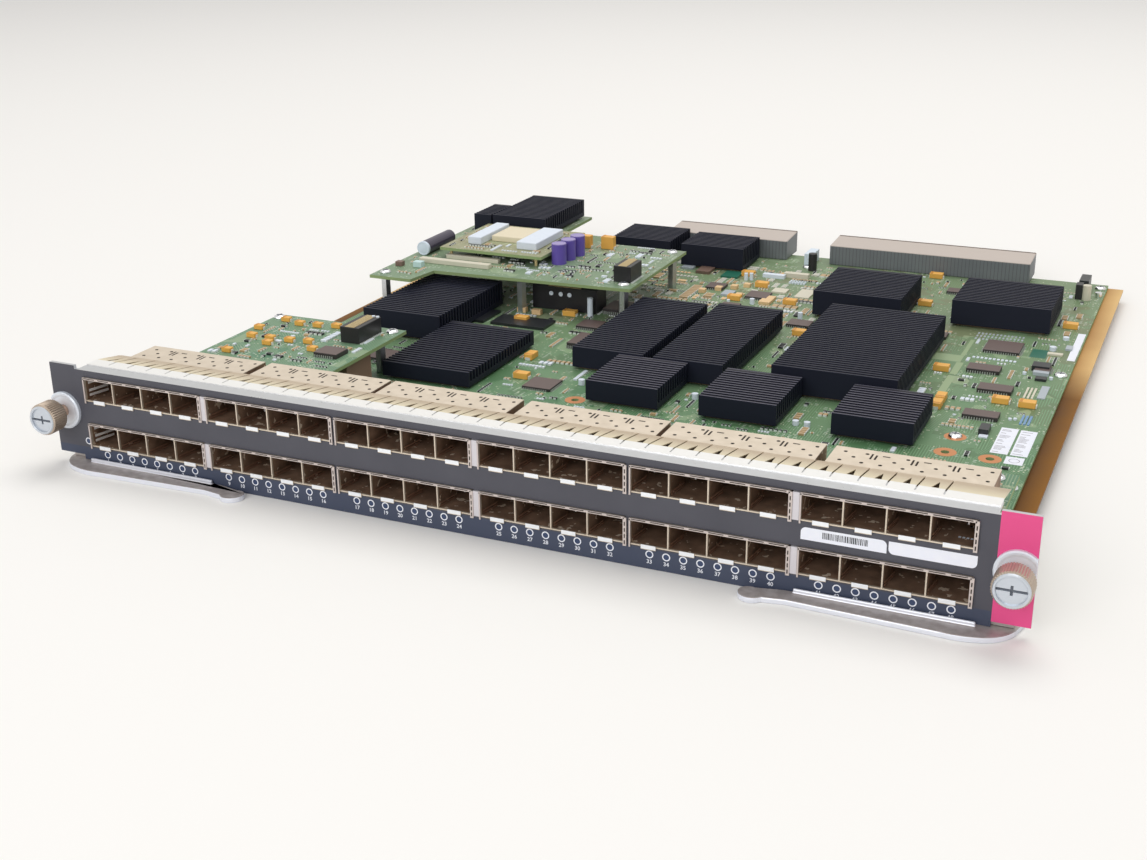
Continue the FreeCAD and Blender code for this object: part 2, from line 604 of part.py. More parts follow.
def capacitors():
    """Three upright sleeved capacitors, and one that lies on its side."""
    upright = [bar(f"purple_{i}", (from_left(105.5 + i), f"269 + {i} * 10", "dims.daughter_top"),
                   "dims.purple_radius", "dims.purple_height", 20) for i in range(3)]
    node("purple_capacitors", gather("purples", upright))
    lying = bar("bulk", (from_left(29), "257", "dims.daughter_top + dims.bulk_radius"), "dims.bulk_radius",
                "dims.bulk_length", 20, "y")
    return node("bulk_capacitor", lying)


# ---------------------------------------------------------------- ejector levers
def lever_outline():
    """The left lever in plan, from the rivet: the hook behind the face, then the handle in front of it."""
    at = (size("half_width") - size("pivot_x"), size("pivot_y"))
    handle = [(1.6, 12), (4.4, 0.4), ((8, -5.2), (14.5, -8.8)), ((20, -9.9), (27, -9.8)), (78.5, -7.9),
              (86.5, -9.2), ((92, -11), (95.3, -7.4)), ((94.7, -4), (90.5, -2.8)), (81.5, -0.9), (21.5, -0.9),
              (20, 6), ((17.5, 11.8), (12, 14)), (7.5, 13)]
    return [tuple((u - at[0], v - at[1]) for u, v in step) if isinstance(step[0], tuple)
            else (step[0] - at[0], step[1] - at[1]) for step in handle]


def mirrored(points):
    """The same outline, seen in a mirror across the card's centre plane."""
    return [tuple((-u, v) for u, v in step) if isinstance(step[0], tuple) else (-step[0], step[1])
            for step in points]


def ejector_lever(side, sign):
    """A stamped lever that lies under the tray's front tab, with a lip turned up along the handle."""
    body = doc.addObject("PartDesign::Body", f"{side}_lever_body")
    points = lever_outline() if sign < 0 else mirrored(lever_outline())
    pad(body, outline(sketch_on(body, "XY_Plane", f"{side}_lever_outline"), points), "dims.lever_sheet",
        f"{side}_lever_plate")
    place(body, f"{sign} * dims.pivot_x", "dims.pivot_y", 0)
    length = "(dims.lip_reach - dims.lip_start)"
    start = "dims.lip_start - dims.half_width" if sign < 0 else "dims.half_width - dims.lip_reach"
    lip = box(f"{side}_lever_lip", (start, "-dims.lip_back - dims.lip_sheet", "dims.lever_sheet"),
              (length, "dims.lip_sheet", "dims.lever_lip"))
    under = (f"{sign} * dims.pivot_x", "dims.pivot_y", "-dims.over")
    bore = rod(f"{side}_lever_bore", under, "dims.rivet_radius + dims.running_play",
               "dims.lever_sheet + 2 * dims.over")
    sink = bar(f"{side}_lever_sink", under, "dims.rivet_head + 2 * dims.running_play",
               "dims.over + dims.head_height + dims.running_play", KNOB_SIDES)
    whole = join(f"{side}_lever_metal", [body, lip])
    return node(f"ejector_lever_{side}", cut(f"{side}_lever", whole, [bore, sink]))


def lever_rivets():
    """The two rivets that the levers turn on, flush underneath."""
    rivets = []
    for i, sign in enumerate((-1, 1)):
        x = f"{sign} * dims.pivot_x"
        foot = bar(f"rivet_foot_{i}", (x, "dims.pivot_y", "dims.running_play"), "dims.rivet_head",
                   "dims.head_height - dims.running_play", SMALL_SIDES)
        shank = rod(f"rivet_shank_{i}", (x, "dims.pivot_y", "dims.running_play"), "dims.rivet_radius",
                    "dims.shoulder_base + dims.tray_sheet - dims.running_play")
        head = bar(f"rivet_head_{i}", (x, "dims.pivot_y", "dims.shoulder_base + dims.tray_sheet"),
                   "dims.rivet_head", "dims.head_height", SMALL_SIDES)
        rivets.append(join(f"rivet_{i}", [foot, shank, head]))
    return node("lever_rivets", gather("rivets", rivets))


# ---------------------------------------------------------------- captive screws
def screw_ferrules():
    """The pressed ferrules that hold the captive screws. Each disc is cut flat at the ear's edge."""
    ferrules = []
    for i, sign in enumerate((-1, 1)):
        x = f"{sign} * dims.screw_x"
        disc = bar(f"ferrule_disc_{i}", (x, "-dims.overlay_sheet - dims.ferrule_disc", "dims.screw_z"),
                   "dims.ferrule_radius", "dims.ferrule_disc", KNOB_SIDES, "y")
        barrel = bar(f"ferrule_barrel_{i}", (x, "-dims.overlay_sheet", "dims.screw_z"), "dims.ferrule_barrel",
                     "dims.overlay_sheet + dims.ferrule_back", BARREL_SIDES, "y")
        bore = rod(f"ferrule_bore_{i}", (x, "-dims.knob_reach", "dims.screw_z"),
                   "dims.shank_radius + dims.running_play", "2 * dims.knob_reach", "y")
        corner = "dims.half_width" if sign > 0 else "-dims.half_width - dims.ferrule_radius"
        flat = box(f"ferrule_flat_{i}", (corner, "-dims.knob_reach", "dims.screw_z - dims.ferrule_radius"),
                   ("dims.ferrule_radius", "2 * dims.knob_reach", "2 * dims.ferrule_radius"))
        ferrules.append(cut(f"ferrule_{i}", join(f"ferrule_blank_{i}", [disc, barrel]), [bore, flat]))
    return node("screw_ferrules", gather("ferrules", ferrules))


def captive_screw(side, sign):
    """A knurled captive screw, drawn out: a knob with a dished, slotted face, a shank and a thread."""
    x, front = f"{sign} * dims.screw_x", "-dims.knob_reach - dims.over"
    reach, deep = "(dims.knob_radius - dims.knob_rim)", "dims.over + dims.knob_dish + dims.slot_depth"
    knob = bar(f"{side}_knob", (x, "-dims.knob_reach", "dims.screw_z"), "dims.knob_radius",
               "dims.knob_length", KNOB_SIDES, "y")
    shank = bar(f"{side}_shank", (x, "-dims.knob_reach + dims.knob_length", "dims.screw_z"),
                "dims.shank_radius",
                "dims.screw_tip - dims.thread_length + dims.knob_reach - dims.knob_length",
                BARREL_SIDES, "y")
    thread = rod(f"{side}_thread", (x, "dims.screw_tip - dims.thread_length", "dims.screw_z"),
                 "dims.thread_radius", "dims.thread_length", "y")
    dish = bar(f"{side}_dish", (x, front, "dims.screw_z"), reach, "dims.over + dims.knob_dish",
               KNOB_SIDES, "y")
    slot = box(f"{side}_slot", (f"{x} - {reach}", front, "dims.screw_z - dims.slot_width / 2"),
               (f"2 * {reach}", deep, "dims.slot_width"))
    cross = box(f"{side}_cross", (f"{x} - dims.slot_width / 2", front, "dims.screw_z - dims.cross_reach"),
                ("dims.slot_width", deep, "2 * dims.cross_reach"))
    whole = join(f"{side}_screw_blank", [knob, shank, thread])
    return node(f"captive_screw_{side}", cut(f"{side}_screw", whole, [dish, slot, cross]))


def retaining_clip(side, sign):
    """The clip that rides in the screw's groove and stops it from falling out."""
    x = f"{sign} * dims.screw_x"
    disc = bar(f"{side}_clip_disc", (x, "dims.ferrule_back + dims.running_play", "dims.screw_z"),
               "dims.clip_radius", "dims.clip_sheet", 6, "y")
    bore = bar(f"{side}_clip_bore", (x, "0", "dims.screw_z"), "dims.clip_bore", "dims.screw_tip", SMALL_SIDES,
               "y")
    return node(f"retaining_clip_{side}", cut(f"{side}_clip", disc, [bore]))


# ---------------------------------------------------------------- the whole card
carrier_tray()
faceplate()
faceplate_overlay()
ear_label()
top_gasket_strip()
cage_webs()
for row_name, row_base in row_bases.items():
    for cage_number, cage_left in enumerate(group_lefts, start=1):
        module_cage(row_name, cage_number, cage_left, row_base)
host_connectors()
main_board()
port_board()
daughter_board()
power_module()
for sink in sinks:
    heat_sink(*sink)
packages()
backplane_connector("left", 122, 198.6)
backplane_connector("right", 219, 334)
alignment_sockets()
standoffs()
board_connector()
board_screws()
tantalum_capacitors()
small_chips()
plastic_connectors()
pin_headers()
capacitors()
lever_rivets()
screw_ferrules()
for side_name, side_sign in (("left", -1), ("right", 1)):
    ejector_lever(side_name, side_sign)
    captive_screw(side_name, side_sign)
    retaining_clip(side_name, side_sign)

doc.recompute()
failed = [item.Label for item in doc.Objects if "Invalid" in item.State or "Error" in item.State]
failed += [part.Label for part in nodes if part.Shape.isNull() or not part.Shape.isValid()]
if failed:
    raise RuntimeError(f"these objects failed: {failed}")

os.makedirs("parts", exist_ok=True)
for part in nodes:
    part.Shape.exportStep(f"parts/{part.Label}.step")
    bounds = part.Shape.BoundBox
    print(f"{part.Label:30s} solids {len(part.Shape.Solids):3d} volume {part.Shape.Volume:10.1f}"
          f" x {bounds.XMin:7.1f} {bounds.XMax:7.1f} y {bounds.YMin:7.1f} {bounds.YMax:7.1f}"
          f" z {bounds.ZMin:5.1f} {bounds.ZMax:5.1f}")
print(len(nodes), "sub-parts")
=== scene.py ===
# %% [markdown]
# # Dressing a switch line card
# The card's solids come ready made as a fixed frame: sheet metal, cages, boards, heat sinks, levers and
# screws. Here each solid gets its finish, and the card gets what is printed, soldered or sprung on it.
# Everything is placed from the frame, so it stays right if the card's sizes change.

# %% Load the frame and note its size
import math
import random

import bmesh
import bpy
from mathutils import Matrix, Vector


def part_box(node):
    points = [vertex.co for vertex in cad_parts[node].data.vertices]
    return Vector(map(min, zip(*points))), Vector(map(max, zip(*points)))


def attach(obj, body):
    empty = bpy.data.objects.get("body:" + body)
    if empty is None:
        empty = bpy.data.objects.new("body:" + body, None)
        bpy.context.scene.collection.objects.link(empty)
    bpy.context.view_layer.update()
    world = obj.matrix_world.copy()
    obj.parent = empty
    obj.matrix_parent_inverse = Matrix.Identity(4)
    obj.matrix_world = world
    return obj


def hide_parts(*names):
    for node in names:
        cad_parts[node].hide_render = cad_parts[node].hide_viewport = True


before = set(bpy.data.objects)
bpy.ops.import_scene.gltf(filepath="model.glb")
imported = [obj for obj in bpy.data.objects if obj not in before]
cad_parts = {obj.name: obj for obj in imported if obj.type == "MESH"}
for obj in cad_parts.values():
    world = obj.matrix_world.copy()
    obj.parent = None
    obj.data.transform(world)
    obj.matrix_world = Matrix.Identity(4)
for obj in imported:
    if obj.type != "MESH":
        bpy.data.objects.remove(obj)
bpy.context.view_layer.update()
MM = 0.001

# %% [markdown]
# ## Places on the card
# A panel maker measures from the left end of the faceplate, back from its metal face, and up from the
# bench. `spot` takes those three numbers in millimetres, so the rest of the script can use a workshop's
# own figures.

# %% Places and main sizes
face_low, face_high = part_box("faceplate")
foil_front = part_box("faceplate_overlay")[0].y
board_low, board_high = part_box("main_board")
main_top = board_high.z
port_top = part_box("port_board")[1].z
daughter_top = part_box("daughter_board")[1].z
PORT_PITCH = 14.25 * MM
BAYS = 4
CAGE_WALL = 0.5 * MM


def spot(x, y, z=0.0):
    """A point from the faceplate's left end, back from its face and up from the bench, in millimetres."""
    return Vector((face_low.x + x * MM, face_low.y + y * MM, z * MM))


lower_low, lower_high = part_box("lower_cage_1")
cages = [(row, number, *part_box(f"{row}_cage_{number}"))
         for row in ("upper", "lower") for number in range(1, 7)]
card_width = face_high.x - face_low.x
print(f"faceplate {card_width / MM:.1f} mm wide, boards at {main_top / MM:.1f}, {daughter_top / MM:.1f} and "
      f"{port_top / MM:.1f} mm")

# %% [markdown]
# ## Mesh helpers
# Nearly everything on a circuit board is a block, a rod or a turned part. Each helper adds one such shape
# to a bmesh and gives its faces a finish by number, so that one object can hold a whole family of parts.


# %% Blocks, rods and turned shapes
def paint(verts, finish):
    """Gives the faces of freshly made vertices a finish by its number in the piece's list."""
    for face in {face for vert in verts for face in vert.link_faces}:
        face.material_index = finish
    return verts


def block(bm, low, high, finish=0, turn=None):
    """A block between two corners, turned about its own middle if asked."""
    low, high = Vector(low), Vector(high)
    stretch = Matrix.Diagonal((*(high - low), 1))
    spun = turn.to_4x4() if turn else Matrix.Identity(4)
    place = Matrix.Translation((low + high) / 2) @ spun @ stretch
    return paint(bmesh.ops.create_cube(bm, size=1, matrix=place)["verts"], finish)


def rod(bm, start, end, radius, finish=0, sides=20):
    """A round rod from start to end."""
    along = Vector(end) - Vector(start)
    turn = along.to_track_quat("Z", "Y").to_matrix().to_4x4()
    place = Matrix.Translation((Vector(start) + Vector(end)) / 2) @ turn
    made = bmesh.ops.create_cone(bm, cap_ends=True, segments=sides, radius1=radius, radius2=radius,
                                 depth=along.length, matrix=place)
    return paint(made["verts"], finish)


def turned(bm, profile, foot, axis, finish=0, sides=32):
    """A profile of (radius, height) pairs spun round an axis that starts at foot."""
    part = bmesh.new()
    line = [part.verts.new((radius, 0, height)) for radius, height in profile]
    edges = [part.edges.new(pair) for pair in zip(line, line[1:])]
    bmesh.ops.spin(part, geom=line + edges, cent=(0, 0, 0), axis=(0, 0, 1), angle=math.tau, steps=sides,
                   use_merge=True, use_duplicate=False)
    bmesh.ops.remove_doubles(part, verts=part.verts, dist=1e-7)
    bmesh.ops.recalc_face_normals(part, faces=part.faces)
    turn = Vector(axis).to_track_quat("Z", "Y").to_matrix().to_4x4()
    part.transform(Matrix.Translation(foot) @ turn)
    for face in part.faces:
        face.material_index = finish
    join_to(bm, part)


def slab(bm, top, left, front, right, back, rise, finish=0):
    """A block that stands on a board's top face, placed in the workshop's millimetres."""
    block(bm, spot(left, front, top / MM), spot(right, back, top / MM + rise), finish)


def post(bm, top, x, y, radius, rise, finish=0, sides=20):
    """A round post that stands on a board's top face."""
    rod(bm, spot(x, y, top / MM), spot(x, y, top / MM + rise), radius * MM, finish, sides)


def join_to(bm, part):
    """Moves a finished part into a bigger bmesh."""
    loose = bpy.data.meshes.new("loose")
    part.to_mesh(loose)
    part.free()
    bm.from_mesh(loose)
    bpy.data.meshes.remove(loose)


def piece(name, bm, finishes, body="card", replaces=(), bevel=0.0):
    """Turns a bmesh into an object that rides on a body of the card."""
    mesh = bpy.data.meshes.new(name)
    bm.to_mesh(mesh)
    bm.free()
    for finish in finishes:
        mesh.materials.append(finish.material)
    thing = bpy.data.objects.new(name, mesh)
    bpy.context.scene.collection.objects.link(thing)
    if bevel:
        rounding = thing.modifiers.new("edge", "BEVEL")
        rounding.width, rounding.segments, rounding.limit_method = bevel, 2, "ANGLE"
    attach(thing, body)
    if replaces:
        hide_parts(*replaces)
    print(f"{name}: {len(mesh.polygons)} faces")
    return thing


# %% [markdown]
# ## Reading the solids back
# Leads, end caps and stripes have to sit on the very chips and capacitors of the frame. This helper
# splits a solid's mesh into its separate blocks and gives the box of each.


# %% Boxes of the separate solids in one node
def solids_in(node):
    """Lowest and highest corners of each separate solid in a node."""
    bm = bmesh.new()
    bm.from_mesh(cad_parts[node].data)
    bmesh.ops.remove_doubles(bm, verts=bm.verts, dist=1e-6)
    left, boxes = set(bm.verts), []
    while left:
        group, edge_of_group = set(), [left.pop()]
        while edge_of_group:
            vert = edge_of_group.pop()
            group.add(vert)
            near = {edge.other_vert(vert) for edge in vert.link_edges} & left
            left -= near
            edge_of_group.extend(near)
        points = [vert.co.copy() for vert in group]
        boxes.append((Vector(map(min, *points)), Vector(map(max, *points))))
    bm.free()
    return sorted(boxes, key=lambda pair: (round(pair[0].y, 5), round(pair[0].x, 5)))


# %% [markdown]
# ## Shader sums
# A pattern is easier to read as a sum than as a web of nodes. `Wire` wraps one socket and lets plain
# arithmetic add Math nodes; `Finish` starts a material and adds any other node through one method.


# %% One wrapper for sockets and one for materials
class Wire:
    """An output of a shader node. Arithmetic on it adds Math nodes."""

    def __init__(self, finish, socket):
        self.finish, self.socket = finish, socket

    def sum(self, operation, first, second=0.0):
        return self.finish.node("ShaderNodeMath", {"operation": operation}, {0: first, 1: second})

    def __add__(self, other):
        return self.sum("ADD", self, other)

    def __sub__(self, other):
        return self.sum("SUBTRACT", self, other)

    def __rsub__(self, other):
        return self.sum("SUBTRACT", other, self)

    def __mul__(self, other):
        return self.sum("MULTIPLY", self, other)

    def __truediv__(self, other):
        return self.sum("DIVIDE", self, other)

    def __gt__(self, other):
        return self.sum("GREATER_THAN", self, other)

    def __lt__(self, other):
        return self.sum("LESS_THAN", self, other)

    __radd__, __rmul__ = __add__, __mul__

    def fract(self):
        return self.sum("FRACT", self)

    def size(self):
        return self.sum("ABSOLUTE", self)


class Finish:
    """A material with one Principled surface. Constant values are set on its own sockets."""

    def __init__(self, name, colour, roughness=0.5, metallic=0.0, **sockets):
        self.material = bpy.data.materials.new(name)
        self.material.use_nodes = True
        self.nodes, self.links = self.material.node_tree.nodes, self.material.node_tree.links
        self.surface = self.nodes["Principled BSDF"]
        self.surface.inputs["Base Color"].default_value = (*colour, 1)
        self.surface.inputs["Roughness"].default_value = roughness
        self.surface.inputs["Metallic"].default_value = metallic
        for socket, value in sockets.items():
            self.surface.inputs[socket.replace("_", " ")].default_value = value

    def node(self, kind, settings=None, inputs=None, output=0):
        """Any node: its settings first, then the values or wires of its sockets."""
        made = self.nodes.new(kind)
        for setting, value in (settings or {}).items():
            setattr(made, setting, value)
        for socket, value in (inputs or {}).items():
            if isinstance(value, Wire):
                self.links.new(value.socket, made.inputs[socket])
            else:
                made.inputs[socket].default_value = value
        return Wire(self, made.outputs[output])

    def place(self):
        """Object coordinates, in millimetres, as three wires."""
        here = self.node("ShaderNodeTexCoord", output="Object")
        scaled = self.node("ShaderNodeVectorMath", {"operation": "SCALE"}, {0: here, "Scale": 1 / MM})
        parts = self.node("ShaderNodeSeparateXYZ", inputs={0: scaled}).socket.node
        return scaled, [Wire(self, parts.outputs[i]) for i in range(3)]

    def noise(self, where, scale, detail=2.0):
        """Soft noise between 0 and 1; scale is in waves to a millimetre."""
        return self.node("ShaderNodeTexNoise", None, {"Vector": where, "Scale": scale, "Detail": detail})

    def cells(self, where, scale, output=0, **settings):
        """Voronoi cells; output 0 is the distance to a cell's point and 1 is its colour."""
        return self.node("ShaderNodeTexVoronoi", settings, {"Vector": where, "Scale": scale}, output)

    def facing(self, axis):
        """How far the surface faces along X, Y or Z, from -1 to 1."""
        normal = self.node("ShaderNodeNewGeometry", output="Normal")
        parts = self.node("ShaderNodeSeparateXYZ", inputs={0: normal}).socket.node
        return Wire(self, parts.outputs["XYZ".index(axis)])

    def mix(self, mask, base, over):
        """One colour over another, by a mask."""
        inputs = {0: mask, 6: self.shade(base), 7: self.shade(over)}
        return self.node("ShaderNodeMix", {"data_type": "RGBA"}, inputs, 2)

    def shade(self, colour):
        return colour if isinstance(colour, Wire) else (*colour, 1)

    def feed(self, socket, wire):
        """Leads a wire to one of the surface's sockets."""
        self.links.new(wire.socket, self.surface.inputs[socket])
        return self


def rgb(red, green, blue):
    """A colour as a paint chart gives it, 0 to 255, in the linear light that a shader works in."""
    return tuple(((value / 255 + 0.055) / 1.055) ** 2.4 if value > 10 else value / 255 / 12.92
                 for value in (red, green, blue))


# %% [markdown]
# ## Sheet metal and foil
# The faceplate is bright plated steel under a dark printed foil, and its right ear carries a magenta foil. The
# cages are tinned copper alloy, which looks tan. Inside a cage little light comes back, so there the metal is
# painted brown as shade, mottled with painted sheen and dotted with painted highlights.

# %% Foils
slate = Finish("slate_foil", rgb(72, 75, 88), 0.5, Specular_IOR_Level=0.35)
where, (_, _, up) = slate.place()
field = slate.mix(slate.noise(where, 0.05), rgb(72, 72, 80), rgb(86, 86, 94))
slate.feed("Base Color", slate.mix(up < lower_low.z / MM, field, rgb(68, 75, 94)))
slate.feed("Roughness", slate.noise(where, 0.3) * 0.2 + 0.38)

magenta = Finish("magenta_foil", rgb(232, 84, 142), 0.5, Specular_IOR_Level=0.3)
white_ink = Finish("white_ink", rgb(238, 240, 246), 0.6)
lens_dark = Finish("light_pipe", rgb(58, 72, 104), 0.25)
faint_ink = Finish("faint_print", rgb(168, 166, 172), 0.6)
paper = Finish("paper_label", rgb(240, 242, 250), 0.6)
where, _ = paper.place()
paper.feed("Base Color", paper.mix(paper.noise(where, 0.4), rgb(236, 239, 250), rgb(246, 247, 252)))
print("foils ready")

# %% [markdown]
# The gasket is spring metal. A painted highlight makes its flat front bright silver, and along the slope behind
# a painted highlight fades from cream to tan. The levers are scuffed steel; their upward faces carry a painted
# sheen, and their front edges and lips a painted highlight.

# %% Bright, tan and scuffed metals
steel = Finish("plated_steel", rgb(206, 208, 212), 0.3, 1.0)
where, _ = steel.place()
steel.feed("Roughness", steel.noise(where, 0.4) * 0.2 + 0.22)

spring = Finish("spring_metal", rgb(226, 218, 204), 0.34, 0.45)
where, (_, back, _) = spring.place()
# Painted highlight: the flat front is painted bright silver, and the slope fades from a cream highlight to tan.
highlit_flat_front = back < face_low.y / MM + 12.6
behind = (back - (face_low.y / MM + 12.6)) / 11
spring.feed("Base Color", spring.mix(highlit_flat_front, spring.mix(behind, rgb(236, 224, 192), rgb(196, 176, 148)),
                                     rgb(244, 243, 240)))
spring.feed("Roughness", spring.noise(where, 0.5) * 0.2 + 0.26)

tin = Finish("cage_tin", rgb(206, 190, 168), 0.42, 0.65)
where, (_, back, up) = tin.place()
cage_low, cage_high = cages[0][2], cages[0][3]
skin = 0.3
in_upper = (up > cage_low.z / MM + skin) * (up < cage_high.z / MM - skin)
in_lower = (up > lower_low.z / MM + skin) * (up < lower_high.z / MM - skin)
deep = (back > face_low.y / MM + 0.15) * (back < cage_high.y / MM - 0.2)
# Painted shade inside the cages: brown, mottled with painted sheen and dotted with painted highlights of
# reflection.
inside = (in_upper + in_lower) * deep
stain_and_sheen = tin.noise(where, 0.25, 4.0)
painted_glints = (tin.noise(where, 0.35, 2.0) > 0.64) * (tin.noise(where, 0.1) > 0.45)
brown = tin.mix(painted_glints, tin.mix(stain_and_sheen, rgb(96, 74, 58), rgb(186, 154, 130)), rgb(232, 216, 196))
tin.feed("Base Color", tin.mix(inside, tin.mix(stain_and_sheen, rgb(206, 192, 172), rgb(228, 216, 200)), brown))
tin.feed("Roughness", inside * 0.15 + (stain_and_sheen * 0.2 + 0.36))

scuffed = Finish("scuffed_steel", rgb(176, 168, 162), 0.45, 0.25)
where, _ = scuffed.place()
streak = scuffed.noise(where, 0.35, 6.0)
# Painted sheen: faces that look straight up are painted near white.
top_sheen = scuffed.facing("Z") > 0.9
dull = scuffed.mix(streak, rgb(136, 124, 118), rgb(204, 198, 196))
scuffed.feed("Base Color", scuffed.mix(top_sheen, rgb(226, 228, 236), dull))
scuffed.feed("Roughness", scuffed.noise(where, 1.2) * 0.3 + 0.25)
# Painted highlight for the levers' front edges and lips.
edge_highlight = Finish("edge_painted_highlight", rgb(236, 238, 246), 0.35, 0.3)
pearl = Finish("zinc_plate", rgb(232, 238, 246), 0.3, 0.2)
web_silver = Finish("web_silver", rgb(216, 212, 216), 0.45, 0.3)
# Painted highlight colour for the latch tabs and the bright dots in the bays.
painted_highlight_white = Finish("latch_tab", rgb(246, 248, 250), 0.4, 0.2)
mouth_edge = Finish("mouth_spring_metal", rgb(208, 196, 190), 0.45, 0.3)
leaf_brown = Finish("shaded_leaf", rgb(138, 104, 84), 0.5, 0.2)
print("metals ready")

# %% [markdown]
# Yellow chromate is never even, and a soft cloud varies it. Over that, painted shade makes it darkest next to
# the board and near the front, a painted sheen makes it paler towards the back, and a painted highlight runs
# along the fold.

# %% Gold chromate on the tray
chromate = Finish("gold_chromate", rgb(176, 136, 78), 0.5, 0.75, Specular_IOR_Level=0.2)
where, (across, back, _) = chromate.place()
cloud = chromate.noise(where, 0.03, 3.0)
tray_half, board_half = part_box("carrier_tray")[1].x / MM, board_high.x / MM
outward = (across.size() - board_half) / (tray_half - board_half)
# Painted shade next to the board and near the front, painted sheen towards the back, painted highlight on the
# fold.
shade_and_cloud = outward * 0.9 + (cloud * 0.5 - 0.2)
shaded_gold = chromate.mix(shade_and_cloud, rgb(84, 50, 8), rgb(156, 106, 34))
lit_gold = chromate.mix(shade_and_cloud, rgb(178, 134, 78), rgb(236, 206, 148))
gold_with_painted_light = chromate.mix((back - (face_low.y / MM + 215)) / 45, shaded_gold, lit_gold)
highlit_fold = across.size() > tray_half - 1.3
front_tabs = back < face_low.y / MM + 4
gold_with_painted_light = chromate.mix(highlit_fold, gold_with_painted_light, rgb(228, 202, 150))
chromate.feed("Base Color", chromate.mix(front_tabs, gold_with_painted_light, rgb(190, 184, 180)))
chromate.feed("Roughness", cloud * 0.2 + 0.45)
print("tray finish ready")

# %% [markdown]
# ## Circuit board
# A board is green lacquer over copper. Tracks run in bundles that change direction from one part of the
# board to the next; small plated holes lie between them, and white print marks the parts. Sawn edges show
# pale laminate.


# %% Board finish
def board_finish(name, base, olive, track):
    """Lacquer with bundles of tracks, small plated holes, white marks and pale edges."""
    board = Finish(name, base, 0.45, Specular_IOR_Level=0.3)
    where, (across, back, _) = board.place()
    field = board.cells(where, 1 / 17, 1, distance="CHEBYCHEV")
    split = board.node("ShaderNodeSeparateColor", inputs={0: field}).socket.node
    choice, field_choice = Wire(board, split.outputs[0]), Wire(board, split.outputs[1])
    lines = [(((along / 1.15).fract() - 0.5).size() < 0.2) for along in (across, back, (across + back) * 0.7)]
    tracks = ((choice < 0.4) * lines[0] + (choice > 0.4) * (choice < 0.75) * lines[1]
              + (choice > 0.75) * lines[2])
    tracks = tracks * (board.noise(where, 0.06, 3.0) > 0.42)
    holes = (board.cells(where, 1 / 2.4) < 0.17) * (board.noise(where, 0.08) > 0.47)
    marks = (((across / 2.6).fract() < 0.55) * ((back / 1.7).fract() < 0.3)
             * (board.noise(where, 0.16, 4.0) > 0.6))
    far_back = (back - (face_low.y / MM + 130)) / 300
    shade = board.mix(board.noise(where, 0.018, 3.0) * 0.8 + far_back, base, olive)
    bands = (field_choice > 0.86) * (board.noise(where, 0.05) > 0.5)
    shade = board.mix(bands * 0.6, shade, rgb(168, 184, 146))
    shade = board.mix(tracks, shade, track)
    shade = board.mix(holes, shade, rgb(206, 210, 180))
    shade = board.mix(marks * 0.75, shade, rgb(214, 222, 208))
    sawn = board.facing("Z").size() < 0.5
    board.feed("Base Color", board.mix(sawn, shade, rgb(150, 170, 118)))
    board.feed("Roughness", sawn * 0.3 + (tracks * 0.08 + 0.42))
    return board


green = board_finish("main_board_lacquer", rgb(50, 118, 76), rgb(120, 130, 96), rgb(120, 156, 118))
pale_green = board_finish("raised_board_lacquer", rgb(82, 130, 100), rgb(124, 140, 112), rgb(136, 160, 128))
module_tan = board_finish("module_lacquer", rgb(112, 134, 96), rgb(150, 146, 112), rgb(170, 170, 136))
print("boards ready")

# %% [markdown]
# ## Parts' own finishes
# Heat sinks are black anodised; the front edge of each fin top carries a painted highlight, and their sides are
# painted a bluer dark than their tops as painted shade. Chips are brown-black epoxy, tantalum capacitors are
# yellow, and end caps and leads are tin.

# %% Heat sinks, chips and the rest
FIN_PITCH, FIN_GLINT = 2.9, 0.5


def sink_finish(name, front, glint):
    """Black anodising for one heat sink, with a painted highlight on the front edge of each fin top and sides
    painted a bluer dark than the tops.
    """
    anodised = Finish(f"anodised_{name}", rgb(30, 31, 42), 0.5, Specular_IOR_Level=0.2)
    where, (_, back, _) = anodised.place()
    fin_front_highlight = ((((back - front / MM) / FIN_PITCH).fract() < FIN_GLINT / FIN_PITCH)
              * (anodised.facing("Z") > 0.5))
    # Painted shade: side faces are painted a bluer dark than the tops.
    top_and_side_shading = anodised.mix(anodised.facing("Z") > 0.5, rgb(26, 29, 43), rgb(26, 26, 36))
    anodised.feed("Base Color", anodised.mix(fin_front_highlight, top_and_side_shading, glint))
    anodised.feed("Roughness", anodised.noise(where, 0.2) * 0.15 + 0.48)
    return anodised


epoxy = Finish("chip_epoxy", rgb(70, 62, 62), 0.5)
# Painted light: chip tops are painted lighter than their sides.
epoxy.feed("Base Color", epoxy.mix(epoxy.facing("Z") > 0.5, rgb(48, 42, 42), rgb(98, 82, 78)))
laminate = Finish("package_laminate", rgb(116, 94, 68), 0.5)
guide_metal = Finish("guide_blocks", rgb(40, 42, 46), 0.4)
_, (across, _, _) = guide_metal.place()
guide_metal.feed("Base Color", guide_metal.mix(across > 60, rgb(220, 232, 242), rgb(40, 44, 46)))
lead_grey = Finish("lead_grey", rgb(168, 174, 166), 0.45, 0.2)
black_plastic = Finish("black_plastic", rgb(34, 33, 36), 0.42)
brown_plastic = Finish("brown_plastic", rgb(150, 118, 100), 0.5)
cream_plastic = Finish("cream_plastic", rgb(216, 210, 190), 0.55)
tantalum = Finish("tantalum_yellow", rgb(238, 178, 82), 0.45)
stripe = Finish("polarity_stripe", rgb(204, 138, 52), 0.5)
ceramic = Finish("ceramic_tan", rgb(186, 158, 118), 0.5)
pale_ceramic = Finish("ceramic_pale", rgb(206, 204, 190), 0.5)
pale_tan = Finish("moulded_tan", rgb(232, 196, 146), 0.5)
grey_part = Finish("grey_part", rgb(176, 184, 190), 0.45)
teal_mask = Finish("teal_lacquer", rgb(34, 104, 84), 0.4)
